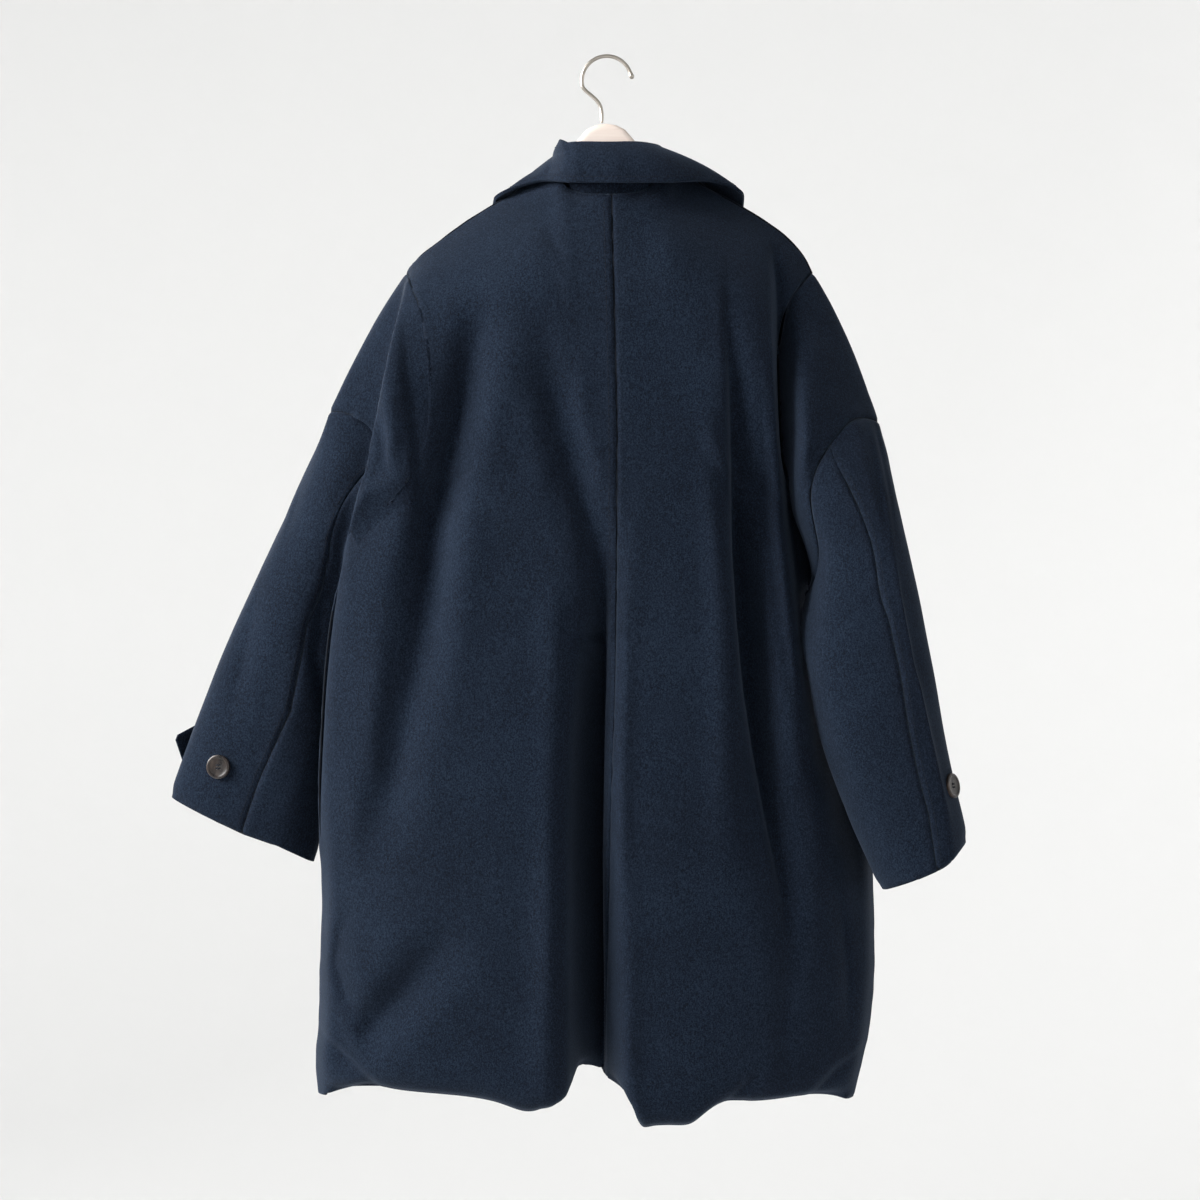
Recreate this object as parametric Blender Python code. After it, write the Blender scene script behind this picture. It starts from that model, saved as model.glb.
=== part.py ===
"""Oversized navy down coat with two-piece sleeves, hung on a wooden hanger with a wire hook.

The coat's back faces -Y, the wearer's right is +X and +Z is up. The origin is the inside top of
the hook, where it hangs on a rail. Tables hold millimetres, and meshes are made in metres.
"""

from collections import namedtuple
from math import cos, pi, radians, sin

import bmesh
import bpy
import numpy as np
from mathutils import Vector

for old in list(bpy.data.objects):
    bpy.data.objects.remove(old, do_unlink=True)

MM = 0.001
SEAM_GAP = 0.3
COAT_WALL = 2.6
COLLAR_WALL = 3.0
TAB_WALL = 3.0
MITRE_LIMIT = 0.4

# Under the arms the cloth is thinner and its edges stand further apart, where four pieces meet.
UNDERARMS = ((-262, -20, -500), (224, 32, -500))
UNDERARM_THINNING = 0.65
UNDERARM_EASE = 3.2
UNDERARM_REACH = 110

# Grid of the body: columns run from the centre to the armhole and side seam, rows from the neck
# and shoulder to the hem. The first columns end at the neck, the first rows at the underarm.
COLUMNS = 15
NECK_COLUMNS = 6
ARMHOLE_ROWS = 9
SIDE_ROWS = 16
UNDERARM_SHARE = 0.3262
EDGE_CROWDING = 0.45
ARMHOLE_CROWDING = 0.45

# Body heights: place of the centre back seam, and how far the back and the front stand out.
Level = namedtuple("Level", "z centre_x back front")
LEVELS = (
    Level(-110, 6, 68, 56),
    Level(-150, 6, 74, 60),
    Level(-250, 8, 84, 74),
    Level(-400, 11, 92, 84),
    Level(-600, 9, 98, 90),
    Level(-770, 4, 101, 94),
    Level(-950, 0, 98, 92),
    Level(-1050, -3, 93, 86),
    Level(-1100, -3, 88, 80),
)

# Outer edge of the body. The armhole runs down to the underarm, the side seam from there to the
# hem. Power and bluntness say how squarely the back and the front turn towards the edge.
Edge = namedtuple("Edge", "z x back_y front_y back_power front_power back_blunt front_blunt")
LEFT_ARMHOLE = (
    Edge(-224, -207, 0, 0, 4, 4, 2, 2),
    Edge(-250, -194, -44, 40, 4, 4, 2, 2),
    Edge(-280, -184, -66, 58, 4, 4, 2, 2),
    Edge(-320, -178, -78, 68, 4, 4, 2, 2),
    Edge(-370, -177, -82, 72, 4, 4, 2, 2),
    Edge(-420, -188, -80, 56, 4, 3, 2, 1.8),
    Edge(-460, -216, -68, 26, 3.4, 2.2, 2, 1.5),
    Edge(-500, -262, -20, -20, 3, 1.8, 2, 1.2),
)
LEFT_SIDE = (
    Edge(-500, -262, -20, -20, 3, 1.8, 2, 1.2),
    Edge(-560, -279, -36, -36, 3, 1.8, 2, 1.2),
    Edge(-670, -291, -34, -34, 3, 2, 2, 1.3),
    Edge(-770, -296, -24, -24, 3, 2.5, 2, 1.6),
    Edge(-874, -292, -12, -12, 3, 3, 2, 2),
    Edge(-936, -295, -6, -6, 3, 3, 2, 2),
    Edge(-1000, -297, 0, 0, 3, 3, 2, 2),
    Edge(-1035, -300, 2, 2, 3, 3, 2, 2),
    Edge(-1090, -296, 3, 3, 3, 3, 2, 2),
)
RIGHT_ARMHOLE = (
    Edge(-224, 215, 0, 0, 12, 4, 2, 2),
    Edge(-250, 193, -28, 42, 12, 4, 2, 2),
    Edge(-280, 181, -38, 60, 12, 4, 2, 2),
    Edge(-320, 177, -42, 70, 12, 4, 2, 2),
    Edge(-370, 178, -42, 73, 12, 4, 2, 2),
    Edge(-420, 182, -36, 69, 10, 4, 2, 2),
    Edge(-460, 196, -12, 58, 7, 3.4, 1.6, 2),
    Edge(-500, 224, 32, 32, 5, 3, 1.2, 2),
)
RIGHT_SIDE = (
    Edge(-500, 224, 32, 32, 5, 3, 1.2, 2),
    Edge(-560, 246, 46, 46, 5, 3, 1.2, 2),
    Edge(-670, 268, 46, 46, 5, 3, 1.3, 2),
    Edge(-770, 276, 36, 36, 4, 3, 1.6, 2),
    Edge(-874, 280, 20, 20, 3, 3, 2, 2),
    Edge(-936, 280, 8, 8, 3, 3, 2, 2),
    Edge(-1000, 275, 4, 4, 3, 3, 2, 2),
    Edge(-1035, 268, 2, 2, 3, 3, 2, 2),
    Edge(-1090, 254, 0, 0, 3, 3, 2, 2),
)

# Neck edge: half width and depths to the back and the front of the shoulder line.
NECK_BACK_Y = -56
NECK_BACK_Z = -150
NECK_FRONT_Y = 58
NECK_FRONT_Z = -205

# Shoulder line from the neck point to the shoulder point, beyond which the armhole begins.
Shoulder = namedtuple("Shoulder", "x z")
LEFT_SHOULDER = (
    Shoulder(-207, -224),
    Shoulder(-194, -207),
    Shoulder(-172, -190),
    Shoulder(-151, -174),
    Shoulder(-124, -157),
    Shoulder(-70, -125),
)
RIGHT_SHOULDER = (
    Shoulder(80, -121),
    Shoulder(145, -157),
    Shoulder(172, -174),
    Shoulder(192, -190),
    Shoulder(206, -207),
    Shoulder(215, -224),
)
RIDGE_FALL = 130
RIDGE_POWER = 2.2

# Lower edge of the coat, at the back and at the front.
Hem = namedtuple("Hem", "x z")
BACK_HEM = (
    Hem(-300, -1072),
    Hem(-262, -1067),
    Hem(-238, -1062),
    Hem(-216, -1065),
    Hem(-140, -1071),
    Hem(-107, -1077),
    Hem(-78, -1085),
    Hem(-58, -1079),
    Hem(-42, -1068),
    Hem(-30, -1048),
    Hem(-10, -1043),
    Hem(6, -1049),
    Hem(24, -1067),
    Hem(34, -1086),
    Hem(84, -1089),
    Hem(101, -1085),
    Hem(116, -1074),
    Hem(154, -1076),
    Hem(214, -1073),
    Hem(258, -1077),
)
FRONT_HEM = (
    Hem(-300, -1072),
    Hem(-200, -1078),
    Hem(-90, -1084),
    Hem(30, -1080),
    Hem(130, -1085),
    Hem(258, -1077),
)
HEM_ROLL = 15
HEM_ROLL_HEIGHT = 34

# Hanging folds: the bottom line of each, its depth, and its reach to the left and right.
Fold = namedtuple("Fold", "z x depth left right")
BACK_FOLDS = {
    "centre": (
        Fold(-460, 9, 0, 40, 20),
        Fold(-560, 0, 14, 42, 24),
        Fold(-640, -10, 32, 44, 28),
        Fold(-760, -17, 50, 45, 32),
        Fold(-900, -14, 60, 45, 34),
        Fold(-1100, -12, 66, 44, 34),
    ),
    "slanting_to_centre": (
        Fold(-290, -64, 0, 26, 24),
        Fold(-350, -52, 7, 26, 24),
        Fold(-440, -30, 10, 26, 24),
        Fold(-520, -6, 7, 26, 22),
        Fold(-570, 2, 0, 26, 22),
    ),
    "long_right": (
        Fold(-300, 126, 0, 15, 30),
        Fold(-360, 130, 8, 15, 32),
        Fold(-450, 136, 18, 15, 34),
        Fold(-580, 139, 25, 16, 34),
        Fold(-700, 148, 22, 17, 36),
        Fold(-820, 164, 12, 20, 38),
        Fold(-940, 184, 0, 24, 40),
    ),
    "broad_left": (
        Fold(-235, -120, 0, 28, 32),
        Fold(-330, -142, 13, 28, 34),
        Fold(-420, -160, 20, 28, 36),
        Fold(-510, -178, 20, 28, 36),
        Fold(-610, -192, 13, 30, 36),
        Fold(-760, -222, 9, 30, 36),
        Fold(-860, -244, 0, 30, 36),
    ),
    "beside_right_sleeve": (
        Fold(-400, 206, 0, 22, 80),
        Fold(-450, 207, 24, 22, 80),
        Fold(-520, 211, 46, 24, 80),
        Fold(-620, 218, 46, 26, 80),
        Fold(-720, 240, 38, 30, 80),
        Fold(-790, 258, 26, 34, 80),
        Fold(-880, 284, 0, 34, 80),
    ),
    "low_left": (
        Fold(-890, -158, 0, 28, 34),
        Fold(-935, -178, 8, 28, 34),
        Fold(-990, -226, 11, 28, 34),
        Fold(-1030, -262, 6, 28, 34),
        Fold(-1060, -286, 0, 28, 34),
    ),
    "left_corner": (
        Fold(-1030, -308, 0, 70, 16),
        Fold(-1052, -288, 8, 70, 16),
        Fold(-1068, -266, 13, 70, 16),
        Fold(-1100, -246, 14, 70, 16),
    ),
    "right_corner": (
        Fold(-1030, 276, 0, 16, 70),
        Fold(-1052, 260, 9, 16, 70),
        Fold(-1070, 240, 13, 16, 70),
        Fold(-1100, 220, 13, 16, 70),
    ),
}
FRONT_FOLDS = {
    "long_left": (
        Fold(-300, -100, 0, 36, 36),
        Fold(-440, -122, 11, 36, 36),
        Fold(-660, -150, 17, 38, 34),
        Fold(-900, -164, 12, 40, 34),
        Fold(-1100, -172, 13, 40, 34),
    ),
    "long_right": (
        Fold(-330, 108, 0, 34, 36),
        Fold(-480, 122, 12, 34, 36),
        Fold(-720, 150, 17, 34, 40),
        Fold(-1100, 162, 14, 34, 40),
    ),
    "beside_left_sleeve": (
        Fold(-430, -232, 0, 70, 30),
        Fold(-510, -258, 30, 70, 34),
        Fold(-620, -272, 36, 70, 36),
        Fold(-740, -284, 26, 70, 36),
        Fold(-850, -300, 0, 70, 36),
    ),
}

# The right front laps over the left one, and the closing is hidden under it.
FRONT_LAP = 24
UNDERLAP_DROP = 5.4
UNDERLAP_START = -66
UNDERLAP_RUN = 34

# Sleeve sections from the sleeve head seam to the cuff: the outer and inner edges, the middle
# plane, its reach to the back and the front, and how far the back of the section rises at the seam.
Section = namedtuple("Section", "t outer_x outer_z inner_x inner_z y back front rise")
LEFT_SLEEVE = (
    Section(0.0, -287, -366, -290, -525, 2, 50, 58, 72),
    Section(0.05, -297, -386, -289, -540, 9, 51, 58, 56),
    Section(0.2, -326, -451, -289, -588, 26, 55, 57, 16),
    Section(0.4, -365, -538, -290, -653, 32, 53, 53, 0),
    Section(0.6, -402, -624, -296, -715, 30, 47, 47, 0),
    Section(0.8, -432, -703, -305, -776, 26, 40, 40, 0),
    Section(1.0, -455, -767, -312, -836, 22, 33, 33, 0),
)
RIGHT_SLEEVE = (
    Section(0.0, 279, -379, 211, -552, -24, 60, 40, 60),
    Section(0.05, 285, -397, 208, -564, -33, 59, 41, 46),
    Section(0.2, 294, -457, 203, -598, -55, 54, 48, 12),
    Section(0.4, 310, -531, 208, -647, -66, 51, 50, 0),
    Section(0.6, 326, -611, 219, -706, -67, 49, 49, 0),
    Section(0.8, 343, -702, 241, -775, -61, 50, 50, 0),
    Section(1.0, 368, -807, 277, -858, -52, 52, 52, 0),
)
SLEEVE_SQUARENESS = 2.2
LEFT_RISE_POWER, RIGHT_RISE_POWER = 2, 1
SLEEVE_ROWS = 14
SLEEVE_TWIST = radians(33)
TWIST_SHARE = 0.3

# Sleeve caps between the armhole and the sleeve head seam. The left cap falls in a fold over the
# sleeve, and the right one rises out of a valley at the armhole.
CAP_ROWS = 6
CAP_FULLNESS = 7
CAP_UNDERARM_FULLNESS = 0
Ripple = namedtuple("Ripple", "place width lift")
LEFT_CAP_RIPPLES = (Ripple(0.42, 0.36, 12), Ripple(0.84, 0.24, -12))
RIGHT_CAP_RIPPLES = (Ripple(0.5, 0.5, 16),)

# Seams of the lower sleeve, counted in columns round the tube from its outer edge.
LEFT_ELBOW, LEFT_FRONT_SEAM = 3, 10
RIGHT_ELBOW, RIGHT_FRONT_SEAM = 15, 8

# Collar: the stand rises inside the neck edge to the fold, and the fall turns over it.
COLLAR_COLUMNS = 26
COLLAR_END = radians(178)
STAND_INSET = 6.4
STAND_FRONT_INSET = 12.0
STAND_HEAD_GAP = 0.7
STAND_FRONT_GAP = 3.2
STAND_BELOW_NECK = 3.5
STAND_ROWS = 3
FOLD_CENTRE_X = 0.5
EDGE_CENTRE_X = 12.5
Collar = namedtuple("Collar", "turn fold_x fold_y fold_z edge_x edge_y edge_z")
COLLAR = (
    Collar(0, 0, -52, -91, 0, -70, -141),
    Collar(30, 32, -47, -90, 50, -65, -140),
    Collar(60, 53, -28, -90, 96, -36, -134),
    Collar(90, 61, 0, -97, 131, -4, -145),
    Collar(120, 56, 28, -116, 130, 42, -182),
    Collar(150, 34, 50, -152, 100, 82, -228),
    Collar(180, 2, 56, -182, 58, 90, -266),
)
# Section of the fall near its fold, outward from the fold and upward, then shares of the way down.
Roll = namedtuple("Roll", "outward up")
COLLAR_ROLL = (Roll(-3.9, -13), Roll(-3.9, -6), Roll(-2.4, -1.4), Roll(0.4, 0), Roll(3.2, -2.2))
FALL_SHARES = (0.2, 0.44, 0.72, 1.0)
FALL_FULLNESS = 5

# Tabs at the cuffs, held by a button on the front of the sleeve, and a second button behind.
TAB_WIDTH = 42
TAB_POINT = 21
TAB_TIP = 3.0
TAB_PLACE = 0.83
TAB_LIFT = 0.5
TAB_COLUMNS = 10
Tab = namedtuple("Tab", "start stop straight")
LEFT_TAB = Tab(radians(-128), radians(-34), 14.0)
RIGHT_TAB = Tab(radians(-150), radians(-62), 4.0)
BUTTON_RADIUS = 12.5
BUTTON_HEIGHT = 4.2
BUTTON_DISH = 1.4
BUTTON_RIM = 3.0
BUTTON_EDGE = 1.2
BUTTON_STEPS = 20
BUTTON_LIFT = 0.4
LEFT_BUTTON = (0.833, radians(67))
RIGHT_BUTTON = (0.885, radians(32))

# Hanger: a flat wooden piece under the shoulders with a wire hook.
HANGER_THICK = 12
HANGER_EDGE = 4.5
HANGER_DROP = 7.5
Crown = namedtuple("Crown", "x z")
CROWN = (
    Crown(-56, -128),
    Crown(-42, -108),
    Crown(-32, -90),
    Crown(-20, -76),
    Crown(-10, -71.3),
    Crown(0, -70),
    Crown(10, -71.3),
    Crown(20, -76),
    Crown(32, -90),
    Crown(42, -108),
    Crown(58, -126),
)
UNDERSIDE = (
    Crown(184, -204),
    Crown(172, -207),
    Crown(140, -188),
    Crown(80, -162),
    Crown(0, -148),
    Crown(-80, -164),
    Crown(-140, -192),
    Crown(-166, -209),
    Crown(-176, -214),
)
HOOK_RADIUS = 25.8
HOOK_WIRE = 1.8
HOOK_CENTRE = (1.0, -25.8)
HOOK_TIP_ANGLE = radians(20)
HOOK_BACK_ANGLE = radians(195)
HOOK_STEPS = 22
Bend = namedtuple("Bend", "x z")
HOOK_STEM = (
    Bend(-21.5, -35.5),
    Bend(-15.5, -40.5),
    Bend(-9.5, -45.5),
    Bend(-5.6, -51),
    Bend(-4, -58),
    Bend(-4, -69.6),
)
Bead = namedtuple("Bead", "along radius")
HOOK_BEAD = (Bead(2.5, 1.3), Bead(4.3, 1.5), Bead(6.0, 1.2), Bead(6.9, 0.5))


def material(name, colour, roughness, metallic=0.0):
    made = bpy.data.materials.new(name)
    made.use_nodes = True
    shader = made.node_tree.nodes["Principled BSDF"]
    shader.inputs["Base Color"].default_value = (*colour, 1.0)
    shader.inputs["Roughness"].default_value = roughness
    shader.inputs["Metallic"].default_value = metallic
    return made


WOOL = material("navy_wool", (0.016, 0.026, 0.05), 0.9)
HORN = material("dark_button", (0.02, 0.016, 0.014), 0.35)
BEECH = material("pale_beech", (0.62, 0.44, 0.32), 0.5)
NICKEL = material("satin_nickel", (0.62, 0.6, 0.57), 0.35, 1.0)


def read(rows, field, at, key="z"):
    """Reads one column of a table at any place, on a smooth curve that never overshoots its rows."""
    rows = sorted(rows, key=lambda row: getattr(row, key))
    x = np.array([getattr(row, key) for row in rows], float)
    y = np.array([getattr(row, field) for row in rows], float)
    at = np.clip(np.asarray(at, float), x[0], x[-1])
    step = np.diff(x)
    rise = np.diff(y) / step
    slope = np.concatenate([rise[:1], np.zeros(len(x) - 2), rise[-1:]])
    product = rise[:-1] * rise[1:]
    total = rise[:-1] + rise[1:]
    slope[1:-1] = np.where(product > 0, 2 * product / np.where(total == 0, 1, total), 0)
    i = np.clip(np.searchsorted(x, at, side="right") - 1, 0, len(x) - 2)
    t = (at - x[i]) / step[i]
    start = (1 + 2 * t) * (1 - t) ** 2 * y[i] + t * (1 - t) ** 2 * step[i] * slope[i]
    finish = t * t * (3 - 2 * t) * y[i + 1] + t * t * (t - 1) * step[i] * slope[i + 1]
    return start + finish


def bell(t):
    return np.clip(1 - t * t, 0, 1) ** 2


def ease(t):
    t = np.clip(t, 0, 1)
    return t * t * (3 - 2 * t)


def unit(vectors):
    vectors = np.asarray(vectors, float)
    return vectors / np.maximum(np.linalg.norm(vectors, axis=-1, keepdims=True), 1e-9)


def new_object(name, points, faces, look):
    mesh = bpy.data.meshes.new(name)
    mesh.from_pydata([tuple(p) for p in np.asarray(points) * MM], [], faces)
    mesh.materials.append(look)
    made = bpy.data.objects.new(name, mesh)
    bpy.context.collection.objects.link(made)
    return made


def near_underarm(points):
    away = [np.linalg.norm(points - np.array(place), axis=-1) for place in UNDERARMS]
    return bell(np.minimum(*away) / UNDERARM_REACH)


def drawn_in(grid, closed, eased_sides):
    """The grid with its edges drawn in by half a seam gap, so that neighbours don't touch."""
    grid = grid.copy()
    ease_off = UNDERARM_EASE * near_underarm(grid)[..., None]
    half = SEAM_GAP / 2 + ease_off
    top = unit(grid[1] - grid[0]) * half[0]
    bottom = unit(grid[-2] - grid[-1]) * half[-1]
    grid[0] += top
    grid[-1] += bottom
    if not closed:
        half = half if eased_sides else half - ease_off
        left = unit(grid[:, 1] - grid[:, 0]) * half[:, 0]
        right = unit(grid[:, -2] - grid[:, -1]) * half[:, -1]
        grid[:, 0] += left
        grid[:, -1] += right
    return grid


def wall(name, grid, normals, thickness, look, closed=False, eased_sides=True):
    """A sheet of cloth with its outer points on the grid, closed all round."""
    outer = drawn_in(grid, closed, eased_sides)
    depth = thickness * (1 - UNDERARM_THINNING * near_underarm(grid))[..., None]
    inner = drawn_in(grid - normals * depth, closed, eased_sides)
    rows, columns = grid.shape[:2]
    count = rows * columns
    points = np.concatenate([outer.reshape(-1, 3), inner.reshape(-1, 3)])
    faces = []
    for r in range(rows - 1):
        for c in range(columns if closed else columns - 1):
            a, b = r * columns + c, r * columns + (c + 1) % columns
            d, e = a + columns, b + columns
            faces.append((a, d, e, b))
            faces.append((a + count, b + count, e + count, d + count))

    def close_edge(a, b):
        """Two triangles from one outer edge to the inner one, split alike by both pieces of a seam."""
        if points[a][2] > points[b][2]:
            faces.extend([(a, b, b + count), (a, b + count, a + count)])
        else:
            faces.extend([(a, b, a + count), (b, b + count, a + count)])

    for c in range(columns if closed else columns - 1):
        a, b = c, (c + 1) % columns
        close_edge(a, b)
        close_edge(b + (rows - 1) * columns, a + (rows - 1) * columns)
    if not closed:
        for r in range(rows - 1):
            a, d = r * columns, (r + 1) * columns
            close_edge(d, a)
            close_edge(a + columns - 1, d + columns - 1)
    return new_object(name, points, faces, look)


def shared_normals(grids):
    """Outward directions for the wall of grids that meet at seams, equal on both sides of a seam.

    They are longer where the cloth turns sharply, so that the wall keeps its thickness there.
    """
    total, facing = {}, {}

    def key(point):
        return tuple(np.round(point, 2))

    def direction(point):
        normal = unit(total[key(point)])
        return normal / max(float(np.mean(np.array(facing[key(point)]) @ normal)), MITRE_LIMIT)

    for grid, closed in grids:
        ring = np.concatenate([grid, grid[:, :1]], axis=1) if closed else grid
        across = np.cross(ring[1:, 1:] - ring[:-1, :-1], ring[:-1, 1:] - ring[1:, :-1])
        for r in range(across.shape[0]):
            for c in range(across.shape[1]):
                for corner in (ring[r, c], ring[r + 1, c], ring[r, c + 1], ring[r + 1, c + 1]):
                    total[key(corner)] = total.get(key(corner), 0) + across[r, c]
                    facing.setdefault(key(corner), []).append(unit(across[r, c]))
    return [np.array([[direction(p) for p in row] for row in grid]) for grid, _ in grids]


def column_shares():
    s = np.arange(COLUMNS + 1) / COLUMNS
    return s - EDGE_CROWDING * np.sin(2 * pi * s) / (2 * pi)


def row_shares():
    s = np.arange(ARMHOLE_ROWS) / ARMHOLE_ROWS
    upper = UNDERARM_SHARE * (s - ARMHOLE_CROWDING * np.sin(2 * pi * s) / (2 * pi))
    lower = 1 - (1 - np.arange(SIDE_ROWS + 1) / SIDE_ROWS) ** 1.3
    return np.concatenate([upper, UNDERARM_SHARE + (1 - UNDERARM_SHARE) * lower])


def neck_edge(angle):
    """The neck edge at an angle from the centre back, positive towards the right."""
    side = np.abs(np.sin(angle))
    half = (RIGHT_SHOULDER[0].x - LEFT_SHOULDER[-1].x) / 2
    middle = (RIGHT_SHOULDER[0].x + LEFT_SHOULDER[-1].x) / 2
    point_z = np.where(np.sin(angle) < 0, LEFT_SHOULDER[-1].z, RIGHT_SHOULDER[0].z)
    behind = np.cos(angle) > 0
    low = np.where(behind, NECK_BACK_Z, NECK_FRONT_Z)
    y = np.where(behind, NECK_BACK_Y, -NECK_FRONT_Y) * np.cos(angle)
    z = low + (point_z - low) * side ** np.where(behind, 2.5, 2.2)
    return np.stack([middle + half * np.sin(angle), y, z], axis=-1)


def top_edge(side, face):
    """Neck edge and shoulder line of one body panel, one point for each column."""
    u = column_shares()
    shoulder = RIGHT_SHOULDER if side > 0 else LEFT_SHOULDER
    neck_x = shoulder[0].x if side > 0 else shoulder[-1].x
    end_x = shoulder[-1].x if side > 0 else shoulder[0].x
    share = (u - u[NECK_COLUMNS]) / (1 - u[NECK_COLUMNS])
    x = neck_x + (end_x - neck_x) * share
    points = np.stack([x, np.zeros_like(x), read(shoulder, "z", x, "x")], axis=-1)
    middle = (RIGHT_SHOULDER[0].x + LEFT_SHOULDER[-1].x) / 2
    half = abs(neck_x - middle)
    if face == "back":
        start_x = read(LEVELS, "centre_x", NECK_BACK_Z)
    else:
        start_x = -side * FRONT_LAP
    wide = start_x + (neck_x - start_x) * u[:NECK_COLUMNS] / u[NECK_COLUMNS]
    angle = np.arcsin(np.clip((wide - middle) / half, -1, 1))
    points[:NECK_COLUMNS] = neck_edge(angle if face == "back" else pi - angle)
    return points


def folds_at(folds, x, z):
    total = np.zeros_like(x)
    for rows in folds.values():
        off = x - read(rows, "x", z)
        reach = np.where(off < 0, read(rows, "left", z), read(rows, "right", z))
        inside = (z <= rows[0].z) & (z >= rows[-1].z)
        total += np.where(inside, read(rows, "depth", z) * bell(off / reach), 0)
    return total


def body_grid(side, face):
    """Outer points of one body panel, from the centre column outwards."""
    armhole = RIGHT_ARMHOLE if side > 0 else LEFT_ARMHOLE
    seam = RIGHT_SIDE if side > 0 else LEFT_SIDE
    hem = BACK_HEM if face == "back" else FRONT_HEM
    out = -1 if face == "back" else 1
    u = column_shares()[None, :]
    v = row_shares()[:, None]
    top = top_edge(side, face)
    hem_end_x = read(seam, "x", hem[-1].z if side > 0 else hem[0].z)
    hem_start_x = read(LEVELS, "centre_x", -1060) if face == "back" else -side * FRONT_LAP
    hem_z = read(hem, "z", hem_start_x + (hem_end_x - hem_start_x) * u, "x")
    hem_z[0, -1] = hem[-1].z if side > 0 else hem[0].z
    z = top[None, :, 2] + (hem_z - top[None, :, 2]) * v
    edge_z = z[:, -1:]

    def along_edge(field):
        upper = read(armhole, field, edge_z[:ARMHOLE_ROWS])
        return np.concatenate([upper, read(seam, field, edge_z[ARMHOLE_ROWS:])])

    edge_x = along_edge("x")
    edge_y = along_edge(face + "_y")
    power = along_edge(face + "_power")
    blunt = along_edge(face + "_blunt")
    if face == "back":
        start_x = read(LEVELS, "centre_x", z[:, :1])
    else:
        start_x = np.full_like(edge_x, -side * FRONT_LAP)
    x = start_x + (edge_x - start_x) * u
    x += (top[None, :, 0] - x[:1]) * np.clip(1 - v / UNDERARM_SHARE, 0, 1) ** 2
    below = np.clip((top[None, :, 2] - z) / RIDGE_FALL, 0, 1)
    full = out * read(LEVELS, face, z)
    middle = top[None, :, 1] + (full - top[None, :, 1]) * (1 - (1 - below) ** RIDGE_POWER)
    turn = (1 - u**power) ** (1 / blunt)
    y = edge_y + (middle - edge_y) * turn
    folds = folds_at(BACK_FOLDS if face == "back" else FRONT_FOLDS, x, z)
    roll = HEM_ROLL * np.clip(1 - (z - hem_z) / HEM_ROLL_HEIGHT, 0, 1) ** 2
    y -= out * (folds + roll) * np.clip((1 - u) / 0.12, 0, 1)
    if face == "front" and side < 0:
        y -= UNDERLAP_DROP * ease((x - UNDERLAP_START) / UNDERLAP_RUN)
    return np.stack([x, y, z], axis=-1)


def sleeve_points(side, t, angle):
    """Points on a sleeve. The angle runs from the outer edge towards the back."""
    rows = RIGHT_SLEEVE if side > 0 else LEFT_SLEEVE
    t = np.asarray(t, float)
    got = {f: read(rows, f, t, "t") for f in Section._fields[1:]}
    outer = np.stack([got["outer_x"], got["y"], got["outer_z"]], axis=-1)
    inner = np.stack([got["inner_x"], got["y"], got["inner_z"]], axis=-1)
    reach = (outer - inner) / 2
    up = np.cross(reach, (0, -1, 0)) * -side
    up = unit(np.where(up[..., 2:] - side * up[..., :1] < 0, -up, up))
    flat = 2 / SLEEVE_SQUARENESS
    along = np.sign(np.cos(angle)) * np.abs(np.cos(angle)) ** flat
    deep = np.sign(np.sin(angle)) * np.abs(np.sin(angle)) ** flat
    points = (outer + inner) / 2 + reach * along[..., None]
    depth = np.where(deep > 0, got["back"], got["front"]) * deep
    points = points + np.array((0, -1, 0)) * depth[..., None]
    power = RIGHT_RISE_POWER if side > 0 else LEFT_RISE_POWER
    lifted = got["rise"] * np.clip(np.sin(angle), 0, 1) * ((1 + np.cos(angle)) / 2) ** power
    return points + up * lifted[..., None]


def sleeve_grid(side):
    """Rings of the lower sleeve, their points going right when seen from outside."""
    count = 2 * ARMHOLE_ROWS
    t = np.repeat(np.arange(SLEEVE_ROWS + 1)[:, None] / SLEEVE_ROWS, count, axis=1)
    angle = -side * np.arange(count)[None, :] * 2 * pi / count
    twist = SLEEVE_TWIST * ease(t / TWIST_SHARE)
    return sleeve_points(side, t, angle + twist)


def cap_grid(side, back, front, sleeve):
    """Rings of the sleeve cap from the armhole to the sleeve head seam."""
    behind = [back[r] for r in range(ARMHOLE_ROWS + 1)]
    before = [front[r] for r in range(ARMHOLE_ROWS, -1, -1)]
    if side < 0:
        start = np.array(behind + before[1:-1])
    else:
        start = np.array(before[::-1] + behind[::-1][1:-1])
    finish = sleeve[0]
    middle = finish.mean(axis=0)
    outward = unit(finish - middle)
    ripples = RIGHT_CAP_RIPPLES if side > 0 else LEFT_CAP_RIPPLES
    at_back = np.clip(-(outward[:, 1]), 0, 1)[:, None]
    under_arm = bell((np.arange(len(start)) - ARMHOLE_ROWS) / 4)[:, None]
    fullness = outward * CAP_FULLNESS * (1 - under_arm)
    fullness = fullness + np.array((side, 0, 0)) * CAP_UNDERARM_FULLNESS * under_arm
    rings = []
    for r in range(CAP_ROWS + 1):
        s = r / CAP_ROWS
        ring = start * (1 - s) + finish * s + fullness * 4 * s * (1 - s)
        lift = sum(w.lift * bell((s - w.place) / w.width) for w in ripples) * sin(pi * s) ** 0.3
        rings.append(ring + at_back * lift * np.array((0, -1, 0)))
    rings[0], rings[-1] = start, finish
    return np.array(rings)


def between(grid, first, last):
    """Columns of a closed grid from one seam round to the next."""
    count = grid.shape[1]
    steps = (last - first) % count
    return grid[:, [(first + k) % count for k in range(steps + 1)]]


body = {(s, f): body_grid(s, f) for s in (-1, 1) for f in ("back", "front")}
sleeves = {s: sleeve_grid(s) for s in (-1, 1)}
caps = {s: cap_grid(s, body[s, "back"][:, -1], body[s, "front"][:, -1], sleeves[s]) for s in (-1, 1)}

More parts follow.
